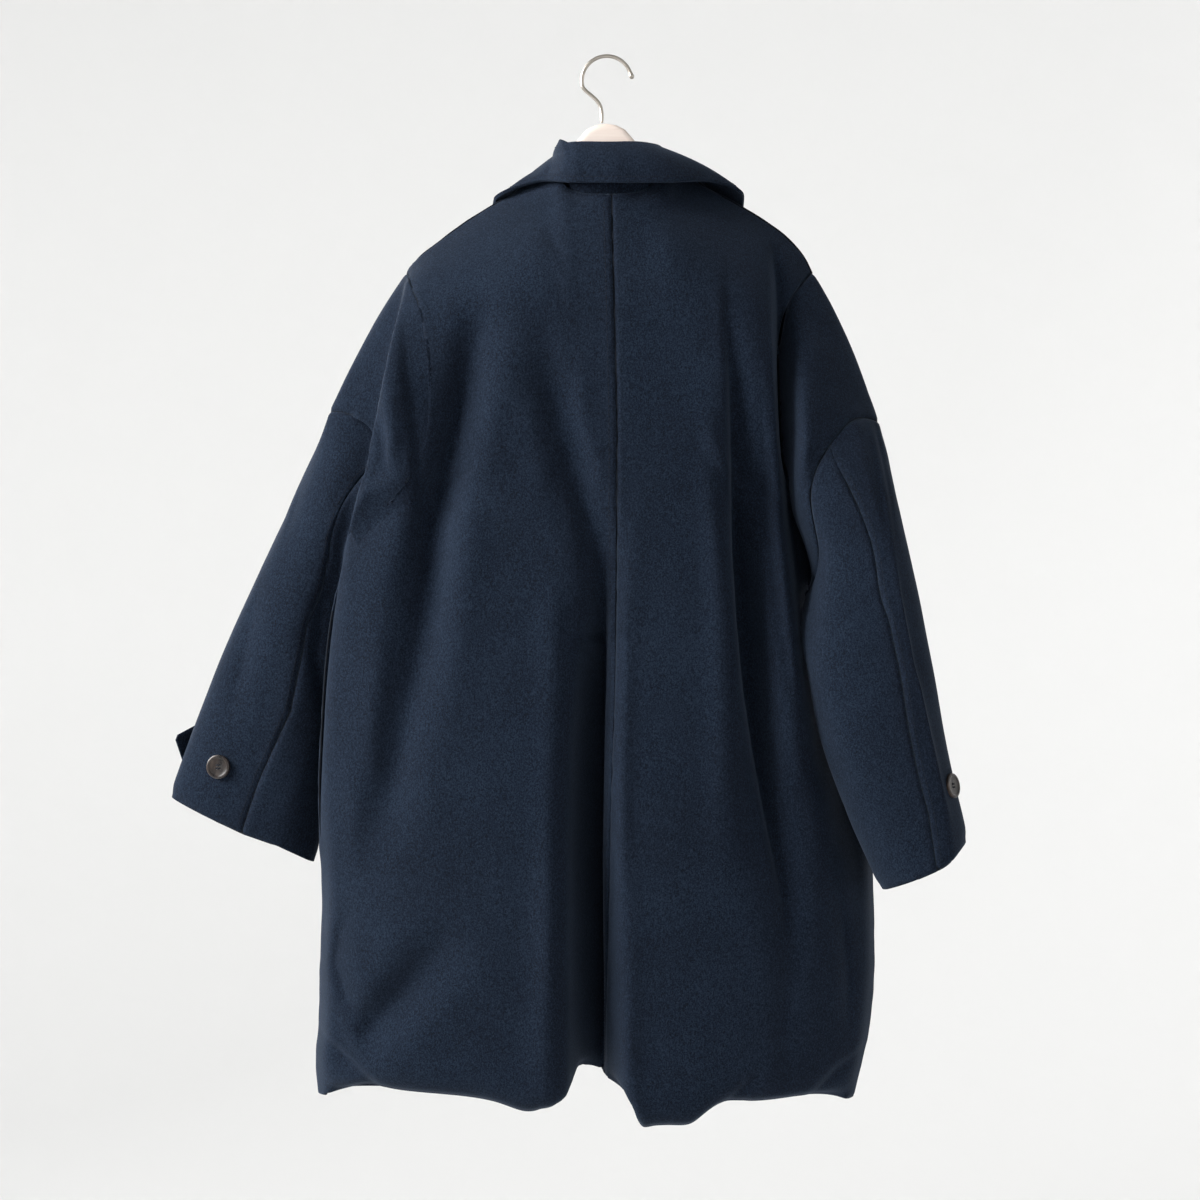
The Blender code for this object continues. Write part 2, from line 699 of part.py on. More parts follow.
# Every grid is turned so that its columns go right when seen from outside.
pieces = {
    "back_left": (body[-1, "back"][:, ::-1], False),
    "back_right": (body[1, "back"], False),
    "front_left": (body[-1, "front"], False),
    "front_right": (body[1, "front"][:, ::-1], False),
    "sleeve_cap_left": (caps[-1], True),
    "sleeve_cap_right": (caps[1], True),
    "sleeve_top_left": (between(sleeves[-1], LEFT_FRONT_SEAM, LEFT_ELBOW), False),
    "sleeve_under_left": (between(sleeves[-1], LEFT_ELBOW, LEFT_FRONT_SEAM), False),
    "sleeve_top_right": (between(sleeves[1], RIGHT_ELBOW, RIGHT_FRONT_SEAM), False),
    "sleeve_under_right": (between(sleeves[1], RIGHT_FRONT_SEAM, RIGHT_ELBOW), False),
}
for (name, (grid, closed)), normals in zip(pieces.items(), shared_normals(pieces.values())):
    wall(name, grid, normals, COAT_WALL, WOOL, closed, not name.startswith("sleeve"))

# Collar columns go from the left front round the back to the right front.
turn = np.linspace(-COLLAR_END, COLLAR_END, COLLAR_COLUMNS + 1)
degrees = np.degrees(np.abs(turn))
sides = np.sign(turn)
got = {f: read(COLLAR, f, degrees, "turn") for f in Collar._fields[1:]}
fold_x = FOLD_CENTRE_X + sides * got["fold_x"]
edge_x = EDGE_CENTRE_X + sides * got["edge_x"]
fold_line = np.stack([fold_x, got["fold_y"], got["fold_z"]], axis=-1)
edge_line = np.stack([edge_x, got["edge_y"], got["edge_z"]], axis=-1)
along = unit(np.gradient(fold_line[:, :2], axis=0))
outward = np.stack([along[:, 1], -along[:, 0], np.zeros(len(turn))], axis=-1)
upward = np.array((0.0, 0.0, 1.0))

forward = ease((degrees - 90) / 60)[:, None]
inset = STAND_INSET + (STAND_FRONT_INSET - STAND_INSET) * forward
stand_base = neck_edge(turn) - outward * inset - upward * STAND_BELOW_NECK
stand_head = fold_line + outward * (COLLAR_ROLL[0].outward + COLLAR_WALL)
head_gap = STAND_HEAD_GAP + (STAND_FRONT_GAP - STAND_HEAD_GAP) * forward
stand_head = stand_head + upward * (COLLAR_ROLL[0].up - head_gap)
stand = np.array(
    [stand_head + (stand_base - stand_head) * r / STAND_ROWS for r in range(STAND_ROWS + 1)]
)
wall("collar_stand", stand, shared_normals([(stand, False)])[0], COLLAR_WALL, WOOL)

fall = [fold_line + outward * roll.outward + upward * roll.up for roll in COLLAR_ROLL]
shoulder_of_fall = fall[-1]
drop = unit(edge_line - shoulder_of_fall)
sideways = unit(np.gradient(edge_line, axis=0))
bulge = unit(np.cross(drop, sideways))
for share in FALL_SHARES:
    flat = shoulder_of_fall + (edge_line - shoulder_of_fall) * share
    fall.append(flat + bulge * FALL_FULLNESS * 4 * share * (1 - share))
fall = np.array(fall)
wall("collar_fall", fall, shared_normals([(fall, False)])[0], COLLAR_WALL, WOOL)


def cuff_tab(name, side):
    """A pointed tab on the front of a sleeve, its end standing out past the outer edge."""
    tab = RIGHT_TAB if side > 0 else LEFT_TAB
    reach = TAB_WIDTH / 2
    turns = np.linspace(tab.start, tab.stop, TAB_COLUMNS + 1)
    middle = sleeve_points(side, np.full(len(turns), TAB_PLACE), turns)
    ahead = sleeve_points(side, np.full(len(turns), TAB_PLACE), turns + 0.01)
    lower = sleeve_points(side, np.full(len(turns), TAB_PLACE + 0.01), turns)
    forward = unit(ahead - middle)
    down = unit(lower - middle)
    normal = unit(np.cross(down, forward) * -side)
    normal = np.where(normal[:, 1:2] < -0.9, -normal, normal)
    base = middle + normal * (TAB_LIFT + TAB_WALL)
    run = tab.straight + np.array([0.0, TAB_POINT * 0.55, TAB_POINT - TAB_TIP])
    base = np.concatenate([base, base[-1] + forward[-1] * run[:, None]])
    normal = np.concatenate([normal, np.repeat(normal[-1:], 3, axis=0)])
    down = np.concatenate([down, np.repeat(down[-1:], 3, axis=0)])
    half = np.full(len(base), reach)
    half[-2:] = (reach * 0.45, TAB_TIP)
    rows = [base + down * (half * w)[:, None] for w in (-1, -0.34, 0.34, 1)]
    grid = np.array(rows if side < 0 else [row[::-1] for row in rows])
    spread = np.repeat((normal if side < 0 else normal[::-1])[None], 4, axis=0)
    wall(name, grid, spread, TAB_WALL, WOOL)
    return base[-4], normal[-4]


def button(name, centre, normal):
    """A round dished button, its back just clear of the cloth."""
    foot = (BUTTON_RADIUS - BUTTON_EDGE * 1.6, 0.0)
    profile = (
        foot,
        (BUTTON_RADIUS, BUTTON_EDGE),
        (BUTTON_RADIUS, BUTTON_HEIGHT - BUTTON_EDGE),
        (BUTTON_RADIUS - BUTTON_EDGE, BUTTON_HEIGHT),
        (BUTTON_RADIUS - BUTTON_RIM, BUTTON_HEIGHT),
        (BUTTON_RADIUS - BUTTON_RIM - BUTTON_DISH, BUTTON_HEIGHT - BUTTON_DISH),
    )
    points = []
    for radius, height in profile:
        for k in range(BUTTON_STEPS):
            a = 2 * pi * k / BUTTON_STEPS
            points.append((radius * cos(a), radius * sin(a), height))
    faces = [tuple(range(BUTTON_STEPS - 1, -1, -1))]
    for r in range(len(profile) - 1):
        for k in range(BUTTON_STEPS):
            a, b = r * BUTTON_STEPS + k, r * BUTTON_STEPS + (k + 1) % BUTTON_STEPS
            faces.append((a, b, b + BUTTON_STEPS, a + BUTTON_STEPS))
    last = (len(profile) - 1) * BUTTON_STEPS
    faces.append(tuple(range(last, last + BUTTON_STEPS)))
    turned = Vector(normal).to_track_quat("Z", "Y").to_matrix()
    placed = [turned @ Vector(p) + Vector(centre) + Vector(normal) * BUTTON_LIFT for p in points]
    return new_object(name, np.array(placed), faces, HORN)


def sleeve_spot(side, t, angle):
    """A point of the sleeve and its outward direction."""
    here = sleeve_points(side, np.array([t]), np.array([angle]))[0]
    ahead = sleeve_points(side, np.array([t]), np.array([angle + 0.05]))[0]
    lower = sleeve_points(side, np.array([t + 0.01]), np.array([angle]))[0]
    normal = unit(np.cross(lower - here, ahead - here) * -side)
    return here, normal


for side, word, spot in ((-1, "left", LEFT_BUTTON), (1, "right", RIGHT_BUTTON)):
    place, facing = cuff_tab("cuff_tab_" + word, side)
    button("tab_button_" + word, place, facing)
    place, facing = sleeve_spot(side, *spot)
    button("cuff_button_" + word, place, facing)


def hanger_wood():
    """The wooden part, its upper line following the inside of the shoulders."""
    left = top_edge(-1, "back")[NECK_COLUMNS + 1 : -3]
    right = top_edge(1, "back")[NECK_COLUMNS + 1 : -3]
    drop = np.array((0, 0, COAT_WALL + HANGER_DROP))
    upper = [(p[0], p[2]) for p in (left - drop)[::-1]]
    upper += [(c.x, c.z) for c in CROWN]
    upper += [(p[0], p[2]) for p in right - drop]
    outline = upper + [(c.x, c.z) for c in UNDERSIDE]
    half = HANGER_THICK / 2
    count = len(outline)
    points = [(x, y, z) for y in (-half, half) for x, z in outline]
    faces = [tuple(range(count - 1, -1, -1)), tuple(range(count, 2 * count))]
    for k in range(count):
        n = (k + 1) % count
        faces.append((k, n, n + count, k + count))
    made = new_object("hanger_wood", points, faces, BEECH)
    shape = bmesh.new()
    shape.from_mesh(made.data)
    bmesh.ops.recalc_face_normals(shape, faces=shape.faces)
    rims = [e for e in shape.edges if abs(e.verts[0].co.y - e.verts[1].co.y) < 1e-6]
    bmesh.ops.bevel(shape, geom=rims, offset=HANGER_EDGE * MM, segments=2, profile=0.5, affect="EDGES")
    shape.to_mesh(made.data)
    shape.free()
    return made


def hanger_hook():
    """The wire hook: a bead at its tip, the arc over the rail, and the stem down to the wood."""
    line, radii = [], []
    centre = np.array((HOOK_CENTRE[0], 0, HOOK_CENTRE[1]))
    start = np.array((cos(HOOK_TIP_ANGLE), 0, sin(HOOK_TIP_ANGLE))) * HOOK_RADIUS + centre
    tangent = np.array((sin(HOOK_TIP_ANGLE), 0, -cos(HOOK_TIP_ANGLE)))
    for bead in reversed(HOOK_BEAD):
        line.append(start + tangent * bead.along)
        radii.append(bead.radius)
    for k in range(HOOK_STEPS + 1):
        a = HOOK_TIP_ANGLE + (HOOK_BACK_ANGLE - HOOK_TIP_ANGLE) * k / HOOK_STEPS
        line.append(centre + np.array((cos(a), 0, sin(a))) * HOOK_RADIUS)
        radii.append(1.0)
    for bend in HOOK_STEM:
        line.append(np.array((bend.x, 0, bend.z)))
        radii.append(1.0)
    curve = bpy.data.curves.new("hanger_hook", "CURVE")
    curve.dimensions = "3D"
    curve.bevel_depth = HOOK_WIRE * MM
    curve.bevel_resolution = 2
    curve.use_fill_caps = True
    curve.materials.append(NICKEL)
    spline = curve.splines.new("POLY")
    spline.points.add(len(line) - 1)
    for point, place, radius in zip(spline.points, line, radii):
        point.co = (*(place * MM), 1.0)
        point.radius = radius
    made = bpy.data.objects.new("hanger_hook", curve)
    bpy.context.collection.objects.link(made)
    return made


hanger_wood()
hanger_hook()
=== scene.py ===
"""Oversized navy down coat on a wooden hanger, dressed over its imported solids."""

from collections import namedtuple
from math import cos, pi, radians, sin

import bmesh
import bpy
import numpy as np
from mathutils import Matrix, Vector, noise
from mathutils.bvhtree import BVHTree
from mathutils.kdtree import KDTree


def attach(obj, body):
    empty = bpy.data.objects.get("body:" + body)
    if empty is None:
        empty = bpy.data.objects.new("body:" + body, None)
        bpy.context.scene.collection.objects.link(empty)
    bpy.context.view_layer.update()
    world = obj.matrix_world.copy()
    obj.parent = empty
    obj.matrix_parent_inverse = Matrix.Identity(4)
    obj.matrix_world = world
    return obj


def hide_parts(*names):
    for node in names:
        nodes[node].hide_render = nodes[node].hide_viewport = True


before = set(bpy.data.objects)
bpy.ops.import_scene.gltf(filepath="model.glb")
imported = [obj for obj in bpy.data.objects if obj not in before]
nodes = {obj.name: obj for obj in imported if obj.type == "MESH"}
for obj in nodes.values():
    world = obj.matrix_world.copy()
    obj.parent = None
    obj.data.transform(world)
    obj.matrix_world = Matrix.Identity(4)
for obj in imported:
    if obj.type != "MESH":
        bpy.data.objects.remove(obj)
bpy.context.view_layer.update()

MM = 0.001


# Hook: one length of nickel-plated wire bent to a question mark, its tip closed with a small bead.
# The plating is brushed satin, a little warm, and the stem is driven into the wood.
class Value:
    """A shader socket. Arithmetic on it adds Math nodes, and add() brings in any other node."""

    def __init__(self, socket):
        self.socket = socket

    def add(self, kind, settings, inputs, output=0):
        tree = self.socket.id_data
        made = tree.nodes.new(kind)
        for key, setting in settings.items():
            if key == "stops":
                stops = made.color_ramp.elements
                for k, (place, colour) in enumerate(setting):
                    stop = stops[k] if k < len(stops) else stops.new(place)
                    stop.position = place
                    stop.color = (*colour, 1.0)
            else:
                setattr(made, key, setting)
        for key, value in inputs.items():
            if isinstance(value, Value):
                tree.links.new(value.socket, made.inputs[key])
            else:
                made.inputs[key].default_value = value
        return Value(made.outputs[output])

    def math(self, operation, a, b):
        return self.add("ShaderNodeMath", {"operation": operation}, {0: a, 1: b})

    def __add__(self, other):
        return self.math("ADD", self, other)

    def __mul__(self, other):
        return self.math("MULTIPLY", self, other)

    __radd__ = __add__

    def into(self, shader, name):
        self.socket.id_data.links.new(self.socket, shader.inputs[name])


def new_look(name, **fixed):
    """A material, its shader, and the place of each point on the piece."""
    look = bpy.data.materials.new(name)
    look.use_nodes = True
    shader = look.node_tree.nodes["Principled BSDF"]
    for key, value in fixed.items():
        shader.inputs[key.replace("_", " ")].default_value = value
    place = look.node_tree.nodes.new("ShaderNodeTexCoord").outputs["Object"]
    return look, shader, Value(place)


def speckle(place, scale, detail=3.0, stretch=(1.0, 1.0, 1.0)):
    at = place.add("ShaderNodeMapping", {}, {"Vector": place, "Scale": stretch})
    return at.add("ShaderNodeTexNoise", {}, {"Vector": at, "Scale": scale, "Detail": detail}, "Fac")


def tint(shade, *stops):
    """A colour that follows a shade through stops, each a place from 0 to 1 and its colour."""
    return shade.add("ShaderNodeValToRGB", {"stops": stops}, {"Fac": shade}, "Color")


def bump(height, shader, strength, distance):
    inputs = {"Height": height, "Strength": strength, "Distance": distance}
    height.add("ShaderNodeBump", {}, inputs).into(shader, "Normal")


def only(piece):
    bpy.ops.object.select_all(action="DESELECT")
    piece.select_set(True)
    bpy.context.view_layer.objects.active = piece


def copy_of(node, name):
    """A copy of a node's mesh, joined to one skin with its triangles paired."""
    piece = bpy.data.objects.new(name, nodes[node].data.copy())
    bpy.context.scene.collection.objects.link(piece)
    only(piece)
    bpy.ops.object.mode_set(mode="EDIT")
    bpy.ops.mesh.select_all(action="SELECT")
    bpy.ops.mesh.remove_doubles(threshold=1e-5)
    bpy.ops.mesh.tris_convert_to_quads(face_threshold=pi, shape_threshold=pi)
    bpy.ops.object.mode_set(mode="OBJECT")
    return piece


def apply(piece, kind, **settings):
    only(piece)
    made = piece.modifiers.new(kind.lower(), kind)
    for key, value in settings.items():
        setattr(made, key, value)
    bpy.ops.object.modifier_apply(modifier=made.name)


def hand_over(piece, look, slot, *replaced):
    """Gives a finished piece its material and its place in the model."""
    piece.data.materials.clear()
    piece.data.materials.append(look)
    only(piece)
    bpy.ops.object.shade_smooth()
    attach(piece, "root")
    if replaced:
        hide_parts(*replaced)
    return piece


nickel, shader, place = new_look("satin_nickel_wire", Metallic=1.0)
streak = speckle(place, 900.0, 2.0, (1.0, 1.0, 0.08))
wear = speckle(place, 60.0)
tint(wear, (0.3, (0.34, 0.31, 0.27)), (0.7, (0.48, 0.44, 0.39))).into(shader, "Base Color")
(0.22 + streak * 0.2).into(shader, "Roughness")
bump(streak, shader, 0.15, 0.0001)

PLATING = 0.35
hook = copy_of("hanger_hook", "hook_wire")
apply(hook, "SUBSURF", levels=2, render_levels=2)
only(hook)
bpy.ops.object.mode_set(mode="EDIT")
bpy.ops.mesh.select_all(action="SELECT")
bpy.ops.transform.shrink_fatten(value=PLATING * MM)
bpy.ops.object.mode_set(mode="OBJECT")
hand_over(hook, nickel, "satin_nickel", "hanger_hook")


# Hanger: flat beech cut to the line of the shoulders, its edges rounded over and lacquered.
# The grain runs along its length, with fine darker pores.
beech, shader, place = new_look("lacquered_beech", Coat_Weight=0.15, Coat_Roughness=0.3)
grain = speckle(place, 40.0, 5.0, (0.12, 1.0, 1.0))
pores = speckle(place, 420.0, 2.0, (0.06, 1.0, 1.0))
tone = grain * 0.75 + pores * 0.25
beech_colour = tint(tone, (0.32, (0.53, 0.42, 0.36)), (0.52, (0.62, 0.535, 0.48)), (0.7, (0.67, 0.6, 0.55)))
beech_colour.into(shader, "Base Color")
(0.36 + pores * 0.25).into(shader, "Roughness")
bump(pores, shader, 0.2, 0.0002)

wood = copy_of("hanger_wood", "hanger_wood_piece")
apply(wood, "REMESH", mode="VOXEL", voxel_size=1.6 * MM)
apply(wood, "SMOOTH", factor=0.5, iterations=6)
hand_over(wood, beech, "pale_beech", "hanger_wood")


# Cloth of the coat: dense navy wool-look cloth with a felted nap over thin down padding. Each
# piece is a skin on its solid's outer side, sewn in along its seams, and as thick as the cloth.
CLOTH = 2.2
SEAM_DEPTH = 1.6
SEAM_REACH = 2.4
SEAM_CLOSE = 0.6
cloth_nodes = (
    "back_left back_right front_left front_right sleeve_cap_left sleeve_cap_right sleeve_top_left "
    "sleeve_top_right sleeve_under_left sleeve_under_right collar_stand collar_fall"
).split()
cloth_points = [(k, v.co) for k, n in enumerate(cloth_nodes, 1) for v in nodes[n].data.vertices]
cloth_tree = KDTree(len(cloth_points))
for k, (_, co) in enumerate(cloth_points):
    cloth_tree.insert(co, k)
cloth_tree.balance()

wool, shader, place = new_look(
    "navy_wool_cloth",
    Specular_IOR_Level=0.1,
    Sheen_Weight=0.07,
    Sheen_Roughness=0.5,
    Sheen_Tint=(0.4, 0.55, 0.8, 1.0),
)
nap = speckle(place, 1050.0, 2.0)
flecks = speckle(place, 620.0, 2.0, (1.0, 1.0, 0.7))
cloud = speckle(place, 14.0, 3.0)
tone = nap * 0.5 + flecks * 0.4 + cloud * 0.1
# Painted shade: near each seam the cloth's colour is darkened down to 0.22 of itself, standing in for the
# shadow in the sewn groove. The same value also dents the bump.
from_seam = place.add("ShaderNodeAttribute", {"attribute_name": "from_seam"}, {}, "Fac")
seam_dip_and_painted_shade = from_seam.add(
    "ShaderNodeMapRange",
    {"interpolation_type": "SMOOTHSTEP"},
    {"Value": from_seam, "From Min": 0.35, "From Max": 1.25, "To Min": 0.22, "To Max": 1.0},
)
navy = tint(
    tone, (0.4, (0.0009, 0.0021, 0.005)), (0.5, (0.0032, 0.0064, 0.0138)), (0.6, (0.0086, 0.015, 0.027))
)
cloth_colour = navy.add("ShaderNodeVectorMath", {"operation": "MULTIPLY"}, {0: navy, 1: seam_dip_and_painted_shade})
cloth_colour.into(shader, "Base Color")
(0.86 + nap * 0.12).into(shader, "Roughness")
bump(nap * 0.6 + flecks * 0.6 + seam_dip_and_painted_shade * 0.8, shader, 0.5, 0.0006)


def read(data, name, count, kind=float):
    got = np.empty(count, kind)
    data.foreach_get(name, got)
    return got


def points_of(piece):
    return read(piece.data.vertices, "co", len(piece.data.vertices) * 3).reshape(-1, 3)


def normals_of(piece):
    return read(piece.data.vertex_normals, "vector", len(piece.data.vertices) * 3).reshape(-1, 3)


def move(piece, points):
    piece.data.vertices.foreach_set("co", np.asarray(points).reshape(-1))
    piece.data.update()


def has_back(face, tree):
    """Tells a side of the cloth from its cut edge: behind it lies the other side, facing away."""
    at, inward, gone = face.calc_center_median(), -face.normal, 0.0
    while gone < 8 * MM:
        hit, normal, _, length = tree.ray_cast(at + inward * 0.02 * MM, inward, 8 * MM)
        if hit is None:
            return False
        gone += length
        if normal.dot(inward) > 0:
            return normal.dot(inward) > 0.88
        at = hit
    return False


def outer_side(shape):
    """The faces on the outer side of a cloth wall, which is the larger of its two sides."""
    tree = BVHTree.FromBMesh(shape)
    left, groups = {f for f in shape.faces if has_back(f, tree)}, []
    while left:
        group, todo = set(), [left.pop()]
        while todo:
            face = todo.pop()
            group.add(face)
            for edge in face.edges:
                if edge.calc_face_angle(pi) < radians(72):
                    todo += [f for f in edge.link_faces if f in left]
                    left -= set(edge.link_faces)
        groups.append(group)
    sides = sorted(groups, key=lambda g: sum(f.calc_area() for f in g))[:-3:-1]
    corners = [{v for f in side for v in f.verts} for side in sides]
    rest = sorted(set(shape.faces) - sides[0] - sides[1], key=lambda f: -f.calc_area())
    found = True
    while found:
        found = None
        for face in rest:
            touched = [k for k in (0, 1) if any(v in corners[k] for v in face.verts)]
            level = [e for e in face.edges if e.calc_face_angle(pi) < radians(60)]
            if len(touched) == 1 and any(f in sides[touched[0]] for e in level for f in e.link_faces):
                found = face
                sides[touched[0]].add(face)
                corners[touched[0]].update(face.verts)
                rest.remove(face)
                break
    return sides[0]


def outer_skin(node, levels):
    """A node's outer side as a smooth open skin. Its sewn edges hold the number of the cloth they meet."""
    piece = copy_of(node, node + "_cloth")
    shape = bmesh.new()
    shape.from_mesh(piece.data)
    keep = outer_side(shape)
    bmesh.ops.delete(shape, geom=[f for f in shape.faces if f not in keep], context="FACES")
    seam = shape.verts.layers.float.new("seam")
    own = cloth_nodes.index(node) + 1 if node in cloth_nodes else 0
    for v in shape.verts:
        near = [(d, cloth_points[k][0]) for _, k, d in cloth_tree.find_range(v.co, 1.6 * MM)]
        near = [pair for pair in near if pair[1] != own]
        v[seam] = float(min(near)[1]) if v.is_boundary and near else 0.0
    shape.to_mesh(piece.data)
    shape.free()
    wanted = points_of(piece)
    for _ in range(5):
        trial = bpy.data.objects.new("trial", piece.data.copy())
        bpy.context.scene.collection.objects.link(trial)
        apply(trial, "SUBSURF", levels=1, boundary_smooth="PRESERVE_CORNERS")
        move(piece, points_of(piece) + 0.8 * (wanted - points_of(trial)[: len(wanted)]))
        bpy.data.objects.remove(trial)
    apply(piece, "SUBSURF", levels=levels, boundary_smooth="PRESERVE_CORNERS")
    return piece


def seams_of(piece):
    return read(piece.data.attributes["seam"].data, "value", len(piece.data.vertices))


def uneven(points, size, seed):
    """Soft unevenness from -1 to 1, over a length in millimetres."""
    shift = Vector((seed * 7.3, seed * 3.1, seed * 5.7))
    return np.array([noise.noise(Vector(p) * (1000.0 / size) + shift) for p in points])


def rim_of(piece):
    """The open edges of a skin, and for each vertex on them the way out over the edge."""
    owners = {}
    for face in piece.data.polygons:
        for key in face.edge_keys:
            owners.setdefault(key, []).append(face)
    edges = [key for key, faces in owners.items() if len(faces) == 1]
    ways = {}
    for key in edges:
        a, b = (piece.data.vertices[k].co for k in key)
        along = (b - a).normalized()
        out = (a + b) / 2 - owners[key][0].center
        out = (out - along * out.dot(along)).normalized()
        for k in key:
            ways[k] = ways.get(k, Vector()) + out
    return edges, {k: way.normalized() for k, way in ways.items()}


def distance_to(points, targets):
    """How far each point is from the nearest target, in millimetres."""
    if not len(targets):
        return np.full(len(points), 1000.0)
    tree = KDTree(len(targets))
    for k, target in enumerate(targets):
        tree.insert(target, k)
    tree.balance()
    return np.array([tree.find(p)[2] for p in points]) / MM


def sew(piece, seed, fullness, roll=0.0, pucker=0.6, quiet=None):
    """Draws a skin in along its seams, rolls its free edge in, and lets the padding swell between."""
    points, normals = points_of(piece), normals_of(piece)
    seams, (_, ways) = seams_of(piece), rim_of(piece)
    sewn = [k for k in ways if seams[k] > 0.5]
    away, free = (distance_to(points, points[rim]) for rim in (sewn, [k for k in ways if seams[k] < 0.5]))
    hidden = np.array([quiet(*p) for p in points / MM]) if quiet else np.zeros(len(points))
    for k in sewn:
        points[k] += np.array(ways[k]) * (SEAM_CLOSE + 1.5 * hidden[k]) * MM
    groove = (1 - hidden) * SEAM_DEPTH * np.exp(-((away / SEAM_REACH) ** 2))
    # from_seam is each point's distance from a sewn edge in millimetres, which the cloth material turns into
    # painted shade along the seam. Hidden seams are put 20 mm further off, so they get none.
    mark = piece.data.attributes.new("from_seam", "FLOAT", "POINT")
    mark.data.foreach_set("value", away + 20 * hidden)
    ripple = pucker * uneven(points, 16.0, seed) * np.exp(-((away / 20.0) ** 2))
    swell = fullness * (uneven(points, 130.0, seed + 1) + 0.4 * uneven(points, 55.0, seed + 2))
    swell = swell * (1 - np.exp(-((away / 30.0) ** 2)))
    turned = roll * np.exp(-((free / 9.0) ** 2)) * (1 - np.exp(-((away / 22.0) ** 2)))
    move(piece, points + normals * ((swell + ripple - groove - turned) * MM)[:, None])


Crease = namedtuple("Crease", "line left right tuck", defaults=[0.0])


def press(piece, creases, facing):
    """Presses creases in, each a line of x, z and depth with its reach to both sides. Facing is the sign
    of y. A tuck moves the bottom of a crease sideways under the cloth beside it."""
    points, normals = points_of(piece), normals_of(piece)
    at = points[:, [0, 2]] / MM
    total, aside = np.zeros(len(at)), np.zeros(len(at))
    for crease in creases.values():
        nearest, dent = np.full(len(at), np.inf), np.zeros(len(at))
        line = np.array(crease.line, float)
        for a, b in zip(line, line[1:]):
            run = b[:2] - a[:2]
            part = np.clip((at - a[:2]) @ run / (run @ run), 0, 1)
            gap = at - a[:2] - part[:, None] * run
            far = np.hypot(gap[:, 0], gap[:, 1])
            rightward = run[0] * gap[:, 1] - run[1] * gap[:, 0] > 0
            off = np.sqrt((far / np.where(rightward, crease.right, crease.left)) ** 2 + 0.01) - 0.1
            here = (a[2] + part * (b[2] - a[2])) * np.clip(1 - off, 0, 1) ** 2
            dent = np.where(far < nearest, here, dent)
            nearest = np.minimum(far, nearest)
        total += dent
        aside += crease.tuck * dent
    turned = np.clip(facing * normals[:, 1] * 3 + 1, 0, 1)
    shown = turned * np.clip((facing * points[:, 1] / MM + 25) / 25, 0, 1) * MM
    points[:, 0] += aside * shown
    points[:, 1] -= facing * total * shown
    move(piece, points)


def thicken(piece, thickness=CLOTH):
    apply(piece, "SOLIDIFY", thickness=thickness * MM, offset=-1.0, use_rim=True)


# Thread of the topstitching: a stitch is modelled once, and each row is a line of its copies laid
# on the cloth beside an edge. It is spun polyester in the colour of the cloth.
STITCH = 4.4
thread, shader, place = new_look("navy_thread", Roughness=0.7, Specular_IOR_Level=0.15)
twist = speckle(place, 2400.0, 2.0)
thread_colour = tint(twist, (0.35, (0.0012, 0.0025, 0.0056)), (0.65, (0.0028, 0.0052, 0.0108)))
thread_colour.into(shader, "Base Color")
bump(twist, shader, 0.3, 0.0001)

bpy.ops.object.select_all(action="DESELECT")
bpy.ops.mesh.primitive_uv_sphere_add(segments=6, ring_count=4, radius=1.0)
stitch = bpy.context.object
bpy.ops.object.mode_set(mode="EDIT")
bpy.ops.mesh.select_all(action="SELECT")
bpy.ops.transform.rotate(value=pi / 2, orient_axis="Y", center_override=(0, 0, 0))
bpy.ops.transform.resize(value=(1.7 * MM, 0.3 * MM, 0.22 * MM), center_override=(0, 0, 0))
bpy.ops.object.mode_set(mode="OBJECT")
stitch_points = points_of(stitch)
stitch_faces = [tuple(p.vertices) for p in stitch.data.polygons]
bpy.data.objects.remove(stitch)


def run_along(piece, fits):
    """The longest stretch of a skin's open edge on which every vertex fits."""
    beside = {}
    for a, b in rim_of(piece)[0]:
        if fits(a) and fits(b):
            beside.setdefault(a, set()).add(b)
            beside.setdefault(b, set()).add(a)
    best = []
    while beside:
        ends = [k for k, ways in beside.items() if len(ways) == 1]
        at, run = (min(ends) if ends else min(beside)), []
        while at is not None:
            run.append(at)
            ways = [k for k in beside.pop(at) if k in beside]
            for k in ways:
                beside[k].discard(at)
            at = ways[0] if ways else None
        best = max(best, run, key=len)
    return best


def topstitch(name, piece, run, inset):
    """A row of stitches on a skin at a distance from a stretch of its edge."""
    points, ways = points_of(piece), rim_of(piece)[1]
    tree = BVHTree.FromPolygons([Vector(p) for p in points], [p.vertices[:] for p in piece.data.polygons])
    row = np.array([tree.find_nearest(Vector(points[k]) - ways[k] * inset * MM)[0] for k in run])
    for _ in range(6):
        row[1:-1] = (row[:-2] + 2 * row[1:-1] + row[2:]) / 4
    along = np.concatenate([[0], np.cumsum(np.linalg.norm(np.diff(row, axis=0), axis=1))])
    places = np.arange(STITCH * MM / 2, along[-1], STITCH * MM)
    row = np.stack([np.interp(places, along, row[:, k]) for k in range(3)], axis=1)
    verts, faces = [], []
    for k in range(1, len(row) - 1):
        spot, normal = tree.find_nearest(Vector(row[k]))[:2]
        ahead = Vector(row[k + 1] - row[k - 1]).normalized()
        aside = normal.cross(ahead).normalized()
        frame_of = np.array([aside.cross(normal), aside, normal])
        faces += [tuple(v + len(verts) for v in f) for f in stitch_faces]
        verts += list(stitch_points @ frame_of + np.array(spot + normal * 0.12 * MM))
    made = bpy.data.objects.new(name, bpy.data.meshes.new(name))
    made.data.from_pydata([tuple(v) for v in verts], [], faces)
    bpy.context.scene.collection.objects.link(made)
    return hand_over(made, thread, "navy_wool")


